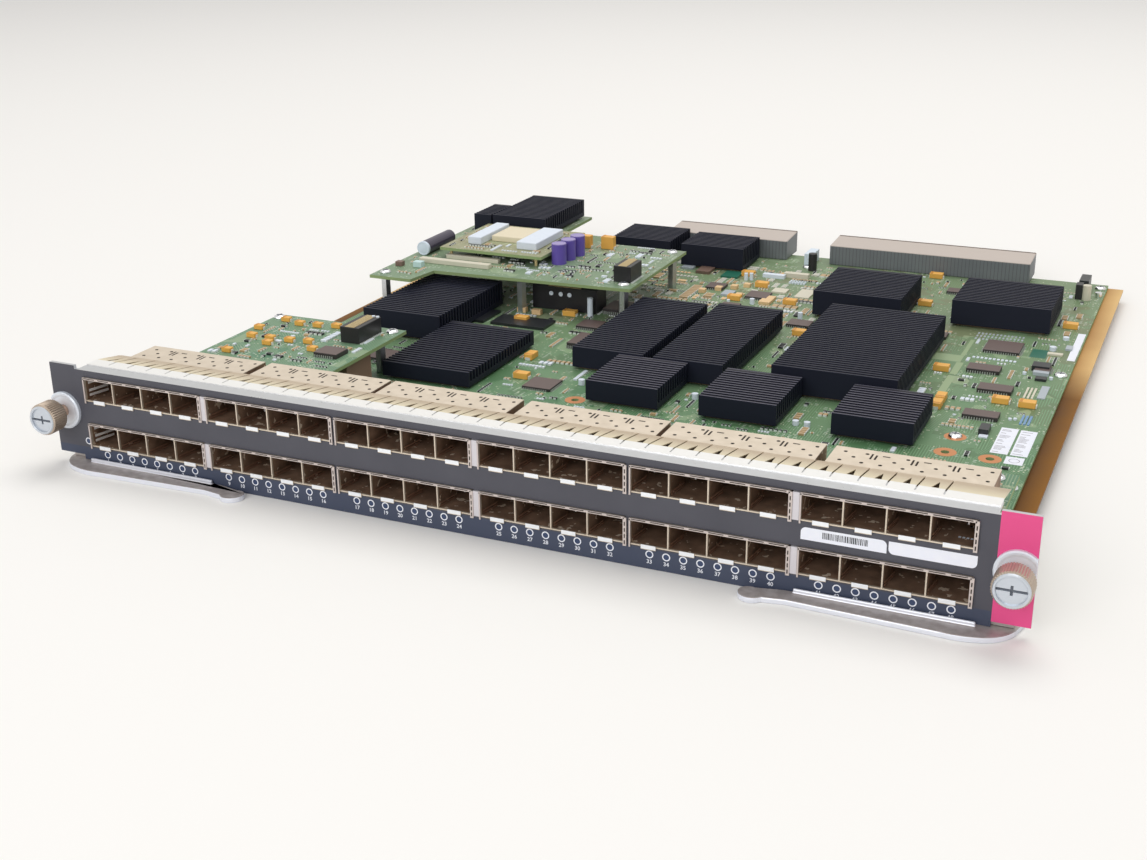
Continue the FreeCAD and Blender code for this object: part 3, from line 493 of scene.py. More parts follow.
blue_part = Finish("blue_resistor", rgb(112, 152, 190), 0.4)
pale_cyan = Finish("pale_cyan_part", rgb(200, 226, 224), 0.45)
band_green = Finish("pale_band", rgb(150, 170, 130), 0.5)
brown_part = Finish("brown_part", rgb(122, 98, 86), 0.5)
resistor = Finish("resistor_black", rgb(34, 36, 40), 0.35)
solder = Finish("tin_ends", rgb(228, 232, 228), 0.4, 0.2)
gold = Finish("gold_pins", rgb(226, 202, 150), 0.35, 0.5)
copper = Finish("bare_copper", rgb(206, 138, 88), 0.4, 0.6)
ferrite = Finish("ferrite_white", rgb(226, 234, 244), 0.5)
ferrite_cream = Finish("ferrite_cream", rgb(230, 218, 188), 0.55)
violet = Finish("violet_sleeve", rgb(104, 84, 176), 0.35)
lilac = Finish("violet_lid", rgb(160, 146, 196), 0.4)
can_end = Finish("capacitor_end", rgb(216, 228, 240), 0.35, 0.2)
dark_sleeve = Finish("dark_sleeve", rgb(66, 60, 78), 0.35)
hole_dark = Finish("hole_shadow", rgb(38, 28, 20), 0.9)
silver = Finish("bright_nickel", rgb(222, 224, 228), 0.16, 1.0)
# Painted shade for the floors of slots and cross recesses.
recess_shade = Finish("recess_shade", rgb(104, 108, 116), 0.5, 0.3)
shade_floor_sheet = Finish("bay_floor_painted_shade", rgb(92, 70, 56), 0.6)
knurl = Finish("knurled_nickel", rgb(188, 172, 156), 0.36, 0.7)
knob_face = Finish("turned_nickel", rgb(204, 210, 218), 0.3, 0.6)
warm_shank = Finish("shank_nickel", rgb(206, 176, 156), 0.3, 0.6)
print("part finishes ready")

# %% [markdown]
# The connectors to the backplane are grey wafers held under a tan stiffener; their mating face carries rows and
# columns of contact holes, which a pattern draws as dark squares of painted shade.

# %% Backplane connector finish
wafer = Finish("backplane_wafers", rgb(116, 122, 118), 0.5)
where, (across, back, up) = wafer.place()
_, plug_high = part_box("backplane_connector_right")
tan_top = wafer.facing("Z") > 0.3
wafers = ((across / 2.0).fract() < 0.12)
hole_shade_grid = ((across / 2.0).fract() < 0.45) * ((up / 2.4).fract() < 0.4) * (wafer.facing("Y") > 0.5)
cap = wafer.mix((back > plug_high.y / MM - 2.2), rgb(196, 184, 174), rgb(92, 74, 62))
face_grey = wafer.mix(wafer.noise(where, 0.05), rgb(98, 102, 108), rgb(126, 130, 132))
body_grey = wafer.mix(wafers, face_grey, rgb(82, 86, 88))
wafer.feed("Base Color", wafer.mix(hole_shade_grid, wafer.mix(tan_top, body_grey, cap), rgb(18, 18, 20)))


# %% Give every solid its finish
def dress(finish, *names):
    """Puts one finish on the solids with these names."""
    for name in names:
        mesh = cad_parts[name].data
        mesh.materials.clear()
        mesh.materials.append(finish.material)


dress(slate, "faceplate_overlay")
dress(magenta, "ear_label")
dress(pearl, "screw_ferrules")
dress(web_silver, "cage_webs")
dress(steel, "faceplate", "captive_screw_left", "captive_screw_right", "retaining_clip_left",
      "retaining_clip_right", "lever_rivets", "board_standoffs", "board_screws")
dress(spring, "top_gasket_strip")
dress(tin, *(f"{row}_cage_{number}" for row, number, low, high in cages))
dress(scuffed, "ejector_lever_left", "ejector_lever_right")
dress(chromate, "carrier_tray")
dress(green, "main_board")
dress(pale_green, "port_board", "daughter_board")
dress(module_tan, "power_module_board")
sink_names = [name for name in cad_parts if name.startswith("heat_sink_")]
# The painted fin highlight is brighter on the front sinks than on the far ones.
NEAR_GLINT, FAR_GLINT = rgb(104, 102, 116), rgb(52, 54, 70)
sink_finishes = {name: sink_finish(name[10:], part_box(name)[0].y, NEAR_GLINT if "front" in name else FAR_GLINT)
                 for name in sink_names}
for name in sink_names:
    dress(sink_finishes[name], name)
dress(epoxy, "small_chips")
dress(laminate, "processor_packages")
dress(guide_metal, "alignment_sockets")
dress(black_plastic, "host_connectors", "pin_headers")
dress(brown_plastic, "stacking_connector")
dress(cream_plastic, "board_sockets")
dress(tantalum, "tantalum_capacitors")
dress(gold, "power_module_pins")
dress(ferrite, "power_module_cores")
dress(violet, "purple_capacitors")
dress(dark_sleeve, "bulk_capacitor")
dress(wafer, "backplane_connector_left", "backplane_connector_right")

# %% [markdown]
# ## Rings and port numbers
# Each port has a light behind the faceplate, which shows through a small pipe with a white ring printed
# round it and the port's number below. There are eight to a group: the odd ports are above and the even
# ones below.

# %% Light rings
RING_HEIGHT, FIRST_RING, RING_PITCH = 5.75, 7.28, 6.295
RING_OUTER, RING_INNER, INK = 1.5, 1.08, 0.05
NUMBER_HEIGHT, NUMBER_SIZE = 2.9, 2.15
ink_front = foil_front - INK * MM
lower_lefts = [low.x for row, number, low, high in cages if row == "lower"]
ring_places = [Vector((left + 0.1 * MM + (FIRST_RING + light * RING_PITCH) * MM, ink_front, RING_HEIGHT * MM))
               for left in lower_lefts for light in range(8)]
status_place = spot(15.4, 0, 10.6)
status_place.y = ink_front

rings, lenses = bmesh.new(), bmesh.new()
ring_profile = [(RING_INNER * MM, 0), (RING_OUTER * MM, 0), (RING_OUTER * MM, 2 * INK * MM),
                (RING_INNER * MM, 2 * INK * MM), (RING_INNER * MM, 0)]
for place in ring_places + [status_place]:
    turned(rings, ring_profile, place, (0, 1, 0), sides=20)
    rod(lenses, place + Vector((0, 0.4 * INK * MM, 0)), place + Vector((0, 2 * INK * MM, 0)), RING_INNER * MM)
piece("port_light_rings", rings, [white_ink])
piece("port_light_lenses", lenses, [lens_dark])


# %% Port numbers
def figures(bm, text, middle, size):
    """Adds a number as flat ink on the faceplate, centred on a point."""
    curve = bpy.data.curves.new("figures", "FONT")
    curve.body, curve.size, curve.align_x, curve.align_y = text, size, "CENTER", "CENTER"
    curve.extrude, curve.offset, curve.resolution_u = INK * MM / 2, 0.015 * size, 2
    holder = bpy.data.objects.new("figures", curve)
    mesh = bpy.data.meshes.new_from_object(holder)
    mesh.transform(Matrix.Translation(middle) @ Matrix.Rotation(math.radians(90), 4, "X"))
    bm.from_mesh(mesh)
    bpy.data.meshes.remove(mesh)
    bpy.data.objects.remove(holder)
    bpy.data.curves.remove(curve)


numbers = bmesh.new()
for port, place in enumerate(ring_places, start=1):
    middle = Vector((place.x, ink_front + INK * MM / 2, NUMBER_HEIGHT * MM))
    figures(numbers, str(port), middle, NUMBER_SIZE * MM)
piece("port_numbers", numbers, [white_ink])

# %% [markdown]
# ## Labels on the faceplate
# Two white labels sit side by side between the rows of the last group. They stay blank, apart from a row
# of plain bars on the first.


# %% Faceplate labels
def label(bm, low, high, y, thick, corners, radius):
    """A thin upright label. Corners lists which of its four corners are cut round, counted from low left."""
    part = bmesh.new()
    corner_places = ((low.x, low.z), (high.x, low.z), (high.x, high.z), (low.x, high.z))
    verts = [part.verts.new((x, 0, z)) for x, z in corner_places]
    face = part.faces.new(verts)
    bmesh.ops.bevel(part, geom=[verts[i] for i in corners], offset=radius, offset_type="OFFSET", segments=6,
                    profile=0.5, affect="VERTICES", material=-1)
    solid = bmesh.ops.extrude_face_region(part, geom=list(part.faces))
    raised = [item for item in solid["geom"] if isinstance(item, bmesh.types.BMVert)]
    bmesh.ops.translate(part, verts=raised, vec=(0, thick, 0))
    bmesh.ops.recalc_face_normals(part, faces=part.faces)
    bmesh.ops.translate(part, verts=part.verts, vec=(0, y, 0))
    join_to(bm, part)


LABEL_LOW, LABEL_HIGH = 21.7, 26.2
labels = bmesh.new()
for left, right, round_corners in ((317.6, 346.4, (2, 3)), (347.0, 375.4, (0, 1))):
    label(labels, spot(left, 0, LABEL_LOW), spot(right, 0, LABEL_HIGH), ink_front, 2 * INK * MM,
          round_corners, 1.8 * MM)
piece("faceplate_labels", labels, [paper])

bars = bmesh.new()
shuffle = random.Random(7)
bar_left = 325.0
while bar_left < 340.0:
    width = shuffle.choice((0.18, 0.28, 0.4))
    low, high = spot(bar_left, 0, 23.0), spot(bar_left + width, 0, 25.3)
    block(bars, (low.x, ink_front - 0.02 * MM, low.z), (high.x, ink_front + INK * MM, high.z))
    bar_left += width + shuffle.choice((0.2, 0.32))
piece("label_bars", bars, [resistor])

# %% [markdown]
# ## Spring strips round the port mouths
# A thin perforated spring strip grounds each cage to the faceplate. It shows as a tan edge with short slots
# above the ports, and as a ladder of slots at the right of each cage; the slots are dark blocks of painted
# shade.

# %% Spring strips
STRIP_PROUD, DASH_PROUD, SLOT_HEIGHT = 0.12 * MM, 0.15 * MM, 0.34 * MM
strips = bmesh.new()
for row, number, low, high in cages:
    front = low.y - STRIP_PROUD
    block(strips, (low.x, front, high.z - 0.55 * MM), (high.x, low.y + 0.3 * MM, high.z + 0.28 * MM), 0)
    block(strips, (high.x - 0.45 * MM, front, low.z), (high.x + 0.85 * MM, low.y + 0.3 * MM, high.z), 0)
    block(strips, (low.x - 0.1 * MM, front, low.z), (low.x + 0.45 * MM, low.y + 0.3 * MM, high.z), 0)
    for bay in range(BAYS):
        for along in (0.75, 7.9):
            left = low.x + bay * PORT_PITCH + along * MM
            block(strips, (left, low.y - DASH_PROUD, high.z - 0.22 * MM),
                  (left + 5.4 * MM, low.y, high.z - 0.22 * MM + SLOT_HEIGHT), 1)
    for step in range(4):
        foot = low.z + (0.7 + 2.35 * step) * MM
        block(strips, (high.x - 0.02 * MM, low.y - DASH_PROUD, foot),
              (high.x + 0.4 * MM, low.y, foot + 1.5 * MM), 1)
piece("mouth_spring_strips", strips, [mouth_edge, hole_dark])

# %% [markdown]
# A tab on the floor of each mouth holds the module by its latch; it is painted near white as a highlight.

# %% Latch tabs
TAB_WIDTH, TAB_FOOT, TAB_TOP, TAB_PROUD = 5.6 * MM, 0.25 * MM, 1.75 * MM, 0.12 * MM
tabs = bmesh.new()
for row, number, low, high in cages:
    for bay in range(BAYS):
        left = low.x + 0.1 * MM + bay * PORT_PITCH + (PORT_PITCH - TAB_WIDTH) / 2
        block(tabs, (left, low.y - TAB_PROUD, low.z + TAB_FOOT),
              (left + TAB_WIDTH, low.y + 0.1 * MM, low.z + TAB_TOP))
piece("latch_tabs", tabs, [painted_highlight_white], bevel=0.08 * MM)

# %% [markdown]
# Inside a bay, bent leaf springs press on the module. They start at the mouth's left wall and lean in over a
# floor sheet painted dark as shade. In the first bay of each row the springs are painted bright as highlight
# and elsewhere brown as shade, and small bright dots deep in each bay are painted reflections.

# %% Leaf springs in the bays
leaves = bmesh.new()
shuffle = random.Random(11)
for row, number, low, high in cages:
    for bay in range(BAYS):
        left = low.x + bay * PORT_PITCH + CAGE_WALL
        # Painted light: springs in the first bay of each row are painted bright as highlight, the others brown
        # as shade.
        first = number == 1 and bay == 0
        for height in (7.9, 4.6, 2.6) if first else (2.4, 1.3):
            start = Vector((left + 0.15 * MM, low.y + 0.9 * MM, low.z + height * MM))
            middle = start + Vector((1.5 if first else 0.7, 5.5, 0.5)) * MM
            turn = Matrix.Rotation(math.radians(-14 if first else -8), 3, "Z")
            size = Vector((0.18, 9.0, 1.0 if first else 0.5)) * MM / 2
            block(leaves, middle - size, middle + size, 0 if first else 1, turn)
        # Painted reflections: small bright dots deep in the bay.
        for along in (4.2, 9.6):
            reflection_dot = Vector((left + (along + shuffle.uniform(-0.8, 0.8)) * MM, low.y + 13 * MM,
                          low.z + shuffle.uniform(3.2, 6.6) * MM))
            block(leaves, reflection_dot, reflection_dot + Vector((0.5, 0.2, 1.0)) * MM, 3)
        # A floor sheet painted dark as shade.
        block(leaves, (left + 1.0 * MM, low.y + 6 * MM, low.z + 0.6 * MM),
              (left + 12.0 * MM, low.y + 30 * MM, low.z + 0.75 * MM), 2)
piece("bay_leaf_springs", leaves, [spring, leaf_brown, shade_floor_sheet, painted_highlight_white])

# %% [markdown]
# ## Tops of the cages
# The sheet over each bay of the upper cages has small round inspection holes and punched slots behind the
# spring fingers, drawn as dark discs and strips of painted shade laid on the sheet.

# %% Holes and slots in the cage tops
HOLE_RADIUS, SKIN = 0.72 * MM, 0.03 * MM
holes = bmesh.new()
for row, number, low, high in cages[:6]:
    for bay in range(BAYS):
        left = low.x + bay * PORT_PITCH
        dots = [(4.2, 32.1), (11.9, 32.1), (8.1, 36.3), (12.0, 40.6)]
        if bay == 0:
            dots.append((4.3, 40.4))
        else:
            dash = Vector((left + 3.2 * MM, face_low.y + 40.1 * MM, high.z))
            block(holes, dash, dash + Vector((2.6 * MM, 0.7 * MM, SKIN)))
            for across, length in ((-0.75, 4.9), (0.85, 4.2)):
                start = Vector((left + across * MM, face_low.y + 36.4 * MM, high.z))
                block(holes, start, start + Vector((0.7 * MM, length * MM, SKIN)))
        for across, back in dots:
            middle = Vector((left + across * MM, face_low.y + back * MM, high.z))
            rod(holes, middle, middle + Vector((0, 0, SKIN)), HOLE_RADIUS, sides=10)
piece("cage_top_hole_shade", holes, [hole_dark])


# %% [markdown]
# ## Softened edges
# Sheet and moulded parts never have razor edges. A copy of a solid is merged, its flat triangles are
# joined, and a small bevel catches the light along its edges.


# %% Bevelled stand-ins
def softened(node, name, finishes, width, body, finish_of=None):
    """A bevelled copy of a solid that stands for it."""
    bm = bmesh.new()
    bm.from_mesh(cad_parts[node].data)
    bmesh.ops.remove_doubles(bm, verts=bm.verts, dist=1e-6)
    bmesh.ops.dissolve_limit(bm, angle_limit=math.radians(1), verts=bm.verts, edges=bm.edges)
    bmesh.ops.recalc_face_normals(bm, faces=bm.faces)
    for face in bm.faces:
        face.material_index = finish_of(face) if finish_of else 0
    return piece(name, bm, finishes, body=body, replaces=(node,), bevel=width)


def lever_finish(face):
    """Painted highlight on a lever's long front edge and on its lip, scuffed metal elsewhere."""
    middle = face.calc_center_median()
    at_front = face.normal.y < -0.3 and middle.y < foil_front
    return 1 if at_front or middle.z > 2.3 * MM else 0


for side in ("left", "right"):
    softened(f"ejector_lever_{side}", f"lever_{side}", [scuffed, edge_highlight], 0.45 * MM, f"{side}_lever",
             lever_finish)
for node in sink_names:
    softened(node, node.replace("heat_sink", "finned_sink"), [sink_finishes[node]], 0.12 * MM, "card")
core_boxes = solids_in("power_module_cores")
lowest_core = min(high.z for low, high in core_boxes)


def core_finish(face):
    """Cream for the low core in the middle, white for the two beside it."""
    middle = face.calc_center_median()
    return 1 if any(high.z == lowest_core and low.x <= middle.x <= high.x for low, high in core_boxes) else 0


softened("power_module_cores", "ferrite_cores", [ferrite, ferrite_cream], 0.5 * MM, "card",
         core_finish)

# %% [markdown]
# ## Captive screws
# Each knob is knurled, with a chamfered rim, a dished face and a slot crossed by a shorter one. A pressed
# ferrule washer sits behind it on the faceplate.

# %% Knobs
KNOB_RADIUS, KNOB_LENGTH, KNURLS = 6.6 * MM, 8.8 * MM, 44
RIM_RADIUS, DISH_DEPTH, SLOT_DEPTH, SLOT_HALF, CROSS_REACH = 4.9 * MM, 0.9 * MM, 1.9 * MM, 0.45 * MM, 1.7 * MM


def knurled(bm, foot, finish):
    """A straight-knurled sleeve along +Y from foot."""
    rings = []
    for along, shrink in ((0.6, 0.7), (1.2, 0.0), (7.9, 0.0), (8.6, 0.6)):
        ring = []
        for step in range(2 * KNURLS):
            radius = KNOB_RADIUS - shrink * MM - (0.28 * MM if step % 2 else 0)
            turn = math.pi * step / KNURLS
            place = Vector((radius * math.cos(turn), along * MM, radius * math.sin(turn)))
            ring.append(bm.verts.new(foot + place))
        rings.append(ring)
    for first, second in zip(rings, rings[1:]):
        for step in range(2 * KNURLS):
            after = (step + 1) % (2 * KNURLS)
            face = bm.faces.new((first[step], first[after], second[after], second[step]))
            face.material_index = finish


def half_disc(bm, foot, sign, finish):
    """Half of the dished face, notched by the cross slot; its back lies on the slot's floor."""
    arc, first = [], math.asin(SLOT_HALF / RIM_RADIUS)
    for step in range(13):
        turn = first + step / 12 * (math.pi - 2 * first)
        arc.append((RIM_RADIUS * math.cos(turn), RIM_RADIUS * math.sin(turn)))
    notch = [(-SLOT_HALF, SLOT_HALF), (-SLOT_HALF, CROSS_REACH),
             (SLOT_HALF, CROSS_REACH), (SLOT_HALF, SLOT_HALF)]
    verts = [bm.verts.new(foot + Vector((x, DISH_DEPTH, sign * z))) for x, z in arc + notch]
    face = bm.faces.new(verts)
    face.material_index = finish
    raised = bmesh.ops.extrude_face_region(bm, geom=[face])
    moved = [item for item in raised["geom"] if isinstance(item, bmesh.types.BMVert)]
    bmesh.ops.translate(bm, verts=moved, vec=(0, SLOT_DEPTH - DISH_DEPTH, 0))


for side in ("left", "right"):
    low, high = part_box(f"captive_screw_{side}")
    foot = Vector(((low.x + high.x) / 2, low.y, (low.z + high.z) / 2))
    screw = bmesh.new()
    knurled(screw, foot, 0)
    turned(screw, [(RIM_RADIUS, SLOT_DEPTH), (RIM_RADIUS, 0.25 * MM), (RIM_RADIUS + 0.25 * MM, 0),
                   (KNOB_RADIUS - 0.95 * MM, 0.05 * MM), (KNOB_RADIUS - 0.6 * MM, 0.6 * MM)],
           foot, (0, 1, 0), 1, 48)
    # The slot's floor is painted darker as shade.
    rod(screw, foot + Vector((0, SLOT_DEPTH, 0)), foot + Vector((0, SLOT_DEPTH + 0.5 * MM, 0)),
        RIM_RADIUS, 2, 32)
    for sign in (1, -1):
        half_disc(screw, foot, sign, 1)
    turned(screw, [(KNOB_RADIUS - 0.6 * MM, 8.6 * MM), (KNOB_RADIUS - 0.9 * MM, KNOB_LENGTH),
                   (3.4 * MM, KNOB_LENGTH), (2.8 * MM, 9.4 * MM), (2.4 * MM, 9.8 * MM),
                   (2.4 * MM, 18.9 * MM), (2.0 * MM, 19.2 * MM),
                   (2.0 * MM, 23.4 * MM), (1.3 * MM, 24 * MM), (0, 24 * MM)], foot, (0, 1, 0), 3, 32)
    for thread in range(11):
        turned(screw, [(2.0 * MM, 0), (2.3 * MM, 0.2 * MM), (2.0 * MM, 0.4 * MM)],
               foot + Vector((0, (19.3 + 0.38 * thread) * MM, 0)), (0, 1, 0), 3, 16)
    bmesh.ops.remove_doubles(screw, verts=screw.verts, dist=1e-7)
    bmesh.ops.recalc_face_normals(screw, faces=screw.faces)
    piece(f"knurled_screw_{side}", screw, [knurl, knob_face, recess_shade, warm_shank],
          body=f"{side}_screw_knob", replaces=(f"captive_screw_{side}",))

# %% [markdown]
# The washer is wider than the ear it sits on, so both are cut off at the ends of the faceplate.

# %% Ferrule washers
WASHER_PROFILE = [(2.6, 0.9), (3.2, 0.35), (4.9, 0.3), (5.9, 0.1), (6.7, -0.35), (7.4, -0.35),
                  (7.85, 0.05), (7.85, 0.9)]
washers = bmesh.new()
ferrule_low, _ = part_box("screw_ferrules")
for side in ("left", "right"):
    low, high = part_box(f"captive_screw_{side}")
    foot = Vector(((low.x + high.x) / 2, ferrule_low.y - 0.15 * MM, (low.z + high.z) / 2))
    turned(washers, [(radius * MM, back * MM) for radius, back in WASHER_PROFILE], foot, (0, 1, 0), 0, 40)
for edge, out in ((face_low.x, -1), (face_high.x, 1)):
    cut = bmesh.ops.bisect_plane(washers, geom=washers.verts[:] + washers.edges[:] + washers.faces[:],
                                 plane_co=(edge, 0, 0), plane_no=(out, 0, 0), clear_outer=True)
    rim = [item for item in cut["geom_cut"] if isinstance(item, bmesh.types.BMEdge)]
    bmesh.ops.holes_fill(washers, edges=rim, sides=0)
piece("ferrule_washers", washers, [pearl])

# %% [markdown]
# ## What is soldered to the boards
# Chips stand on rows of small bent leads. Moulded capacitors have tin ends and a brown stripe at the positive
# end. They are found from the solids, except on the tongue of the port board, where they are listed one by one
# because the solids there stand a few millimetres off.

# %% Chip bodies
def on_tongue(low):
    """True for what stands on the tongue of the port board, behind the first ports."""
    return low.z > port_top - MM and low.y < spot(0, 130).y


def moulded(name, boxes, finish, node, width=0.25 * MM):
    """Moulded blocks that stand for a node of plain ones."""
    bodies = bmesh.new()
    for low, high in boxes:
        block(bodies, low, high)
    piece(name, bodies, [finish], replaces=(node,), bevel=width)


chips = [(spot(71.5, 83.5, low.z / MM), spot(83.2, 93.5, high.z / MM)) if on_tongue(low) else (low, high)
         for low, high in solids_in("small_chips")]
moulded("chip_bodies", chips, epoxy, "small_chips")

# %% [markdown]
# Wide chips have leads at front and back, deep ones at the sides, and the large square ones all round.

# %% Chip leads
LEAD_PITCH, LEAD_WIDTH, LEAD_REACH = 1.1 * MM, 0.42 * MM, 1.1 * MM
leads = bmesh.new()
for low, high in chips:
    wide, deep = high.x - low.x, high.y - low.y
    foot, shoulder = low.z + 0.12 * MM, low.z + 0.5 * (high.z - low.z)
    around = min(wide, deep) > 11.5 * MM
    if around or wide >= deep:
        for step in range(int((wide - 1.2 * MM) / LEAD_PITCH)):
            left = low.x + 0.8 * MM + step * LEAD_PITCH
            for edge, out in ((low.y, -1), (high.y, 1)):
                near, far = sorted((edge, edge + out * LEAD_REACH))
                block(leads, (left, near, low.z), (left + LEAD_WIDTH, far, foot))
                near, far = sorted((edge, edge + out * 0.4 * LEAD_REACH))
                block(leads, (left, near, foot), (left + LEAD_WIDTH, far, shoulder))
    if around or deep > wide:
        for step in range(int((deep - 1.2 * MM) / LEAD_PITCH)):
            front = low.y + 0.8 * MM + step * LEAD_PITCH
            for edge, out in ((low.x, -1), (high.x, 1)):
                near, far = sorted((edge, edge + out * LEAD_REACH))
                block(leads, (near, front, low.z), (far, front + LEAD_WIDTH, foot))
                near, far = sorted((edge, edge + out * 0.4 * LEAD_REACH))
                block(leads, (near, front, foot), (far, front + LEAD_WIDTH, shoulder))
piece("chip_leads", leads, [lead_grey])

# %% [markdown]
# The tongue of the port board, behind the first ports, carries a dozen small capacitors of its own.

# %% Capacitor ends and stripes
TONGUE_CAPACITORS = ((30.1, 123.8), (39.6, 120.8), (49.1, 121.6), (58.0, 123.7), (29.4, 97.0), (25.4, 108.5),
                     (39.6, 96.8), (42.5, 90.4), (49.7, 97.4), (58.9, 98.9), (66.6, 90.3), (31.9, 74.8))
capacitors = [pair for pair in solids_in("tantalum_capacitors") if not on_tongue(pair[0])]
capacitors += [(spot(x - 2.3, y - 1.5, port_top / MM), spot(x + 2.3, y + 1.5, port_top / MM + 2.2))
               for x, y in TONGUE_CAPACITORS]
moulded("tantalum_bodies", capacitors, tantalum, "tantalum_capacitors", 0.3 * MM)
ends = bmesh.new()
for low, high in capacitors:
    along_x = high.x - low.x > high.y - low.y
    for at_high in (False, True):
        near, far = low.copy(), high.copy()
        axis = 0 if along_x else 1
        other = 1 - axis
        near[axis], far[axis] = (high[axis] - 0.2 * MM, high[axis] + 0.5 * MM) if at_high else \
            (low[axis] - 0.5 * MM, low[axis] + 0.2 * MM)
        near[other] += 0.9 * MM
        far[other] -= 0.9 * MM
        far.z = low.z + 1.3 * MM
        block(ends, near, far, 0)
    near, far = low.copy(), high.copy()
    axis = 0 if along_x else 1
    near[axis] += 0.5 * MM
    far[axis] = near[axis] + 1.2 * MM
    near.z, far.z = high.z, high.z + 0.04 * MM
    block(ends, near, far, 1)
piece("capacitor_ends", ends, [solder, stripe])

# %% [markdown]
# ## Small resistors and ceramic capacitors
# A board like this carries hundreds of parts the size of a grain of rice. They come in short rows of
# equal parts. Each row gets a random place and direction, and is dropped if it would touch anything
# larger.

# %% Where small parts may not go
headers = [(spot(71.5, 105.8, port_top / MM), spot(81.3, 125.5, 36)) if on_tongue(low) else (low, high)
           for low, high in solids_in("pin_headers")]
sockets = [(34, 243.2, 76, 247.2, 2.4), (44, 255.5, 75.5, 258.5, 2.2), (36, 233, 41, 237, 3),
           (26, 231.5, 30, 235, 2.5)]
TALL_NODES = ("board_standoffs", "board_screws", "stacking_connector", "alignment_sockets",
              "backplane_connector_left", "backplane_connector_right", "processor_packages",
              "purple_capacitors", "bulk_capacitor", "power_module_board")
tall = [pair for node in TALL_NODES for pair in solids_in(node)] + chips + capacitors + headers
tall += [(spot(left, front, daughter_top / MM), spot(right, back, daughter_top / MM + rise))
         for left, front, right, back, rise in sockets]
tall += [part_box(name) for name in sink_names]
stickers = [(357.3, 134.0, 364.3, 164.0), (365.3, 134.0, 372.0, 163.5), (364.3, 124.4, 371.5, 132.3),
            (370.6, 264.0, 374.2, 309.0)]
bare_rings = [(340.9, 127.6), (358.7, 127.0), (178.6, 126.2), (341.4, 146.0)]
odd_blocks = [  # left, front, right, back, height, finish
    (310, 243, 325, 253, 0.03, 0), (323.3, 253.2, 325.3, 279.5, 0.03, 0),
    (323.5, 224.5, 326.8, 242.5, 0.03, 0),
    (323.4, 195.5, 326.9, 221.5, 0.03, 0), (353.5, 263, 361, 276, 0.03, 1), (357.5, 243, 365.5, 250, 2.5, 2),
    (359, 236.8, 366, 241, 1.5, 3), (361, 229, 366, 233, 1.2, 2), (361, 269, 368, 272, 0.8, 5),
    (365.4, 205, 368.8, 222, 0.5, 3), (349.5, 152, 353.5, 160, 2.5, 2), (349.2, 160.4, 353.2, 165, 0.6, 4),
    (350.2, 148.6, 353.8, 151.6, 0.6, 4), (368, 279, 371, 285, 1, 3), (194, 351, 206.5, 354.5, 2, 4),
    (205, 355.5, 219, 359.5, 2.5, 5), (172, 342, 182, 354, 1, 1), (156, 345, 164, 356, 1.6, 6),
    (184, 307, 190, 316, 1, 3), (208, 299, 214, 312, 1.5, 7), (208, 322, 216, 330, 1, 5),
    (171, 308, 174.5, 311.5, 2, 7), (178, 315, 181.5, 319, 2, 7), (185, 321, 188.5, 325, 2, 7),
    (190.5, 327, 194, 330.5, 2, 7), (192.5, 306, 196, 310, 2, 7), (222, 318, 230, 334, 0.6, 5),
    # The two wide black blocks under the daughter board stand partly for black parts and partly for painted
    # shade there.
    (145, 351, 152, 357, 1.2, 3), (58, 213, 88, 233, 1.4, 2), (92, 213, 122, 228, 1.4, 2),
    (104, 237, 109, 240, 2.5, 7), (95, 238, 100, 241, 2.5, 7)]
odd_blocks += [(329.0 + 1.9 * step, 251.6, 330.2 + 1.9 * step, 253.4, 0.4, 4) for step in range(11)]
odd_blocks += [(324.6 + 1.8 * step, front, 325.5 + 1.8 * step, front + 2.8, 0.04, 3)
               for step in range(13) for front in (281.5, 286.0, 290.5)]
odd_blocks += [(359.6 + 1.7 * step, 203.5, 360.5 + 1.7 * step, 218, 0.4, 5) for step in range(3)]
odd_blocks += [(363.2 + 1.6 * step, 170, 364.2 + 1.6 * step, 181, 0.5, 8) for step in range(3)]
odd_blocks += [(211.5 + 1.6 * step, front, 212.5 + 1.6 * step, front + 1.4, 1, 4)
               for step in range(6) for front in (343.5, 346.3)]
odd_rods = [  # middle, radius and height, on the main board
    (362.5, 277.0, 1.6, 2.0), (366.2, 296.4, 1.5, 1.5), (358.9, 174.2, 0.8, 0.8), (360.9, 175.0, 0.8, 0.8),
    (187.2, 342.0, 1.1, 4.0), (190.0, 343.0, 1.1, 4.0), (204.9, 298.0, 1.3, 3.0), (236.1, 281.3, 1.3, 3.5),
    (126.6, 359.8, 1.6, 4.0), (277.0, 134.0, 1.4, 2.0), (282.0, 134.0, 1.4, 2.0), (173.0, 146.0, 1.5, 2.5),
    (227.0, 148.0, 1.5, 2.5), (355.4, 236.4, 0.9, 1.2), (367.6, 233.4, 0.9, 1.2), (191.8, 297.5, 0.9, 1.2)]


def keep_outs(top):
    """Plan outlines of everything that stands on a board or hangs just over it."""
    zones = [(low.x, low.y, high.x, high.y) for low, high in tall
             if low.z < top + 3 * MM and high.z > top + 0.2 * MM]
    if top < 12 * MM:
        zones += [(*spot(left, front).xy, *spot(right, back).xy) for left, front, right, back in stickers]
        zones += [(*spot(x - 5, y - 5).xy, *spot(x + 5, y + 5).xy) for x, y in bare_rings]
        zones += [(*spot(left, front).xy, *spot(right, back).xy)
                  for left, front, right, back, *_ in odd_blocks]
        zones += [(*spot(x - size, y - size).xy, *spot(x + size, y + size).xy) for x, y, size, _ in odd_rods]
        zones.append((*spot(0, 0).xy, *spot(400, 68).xy))
    return zones


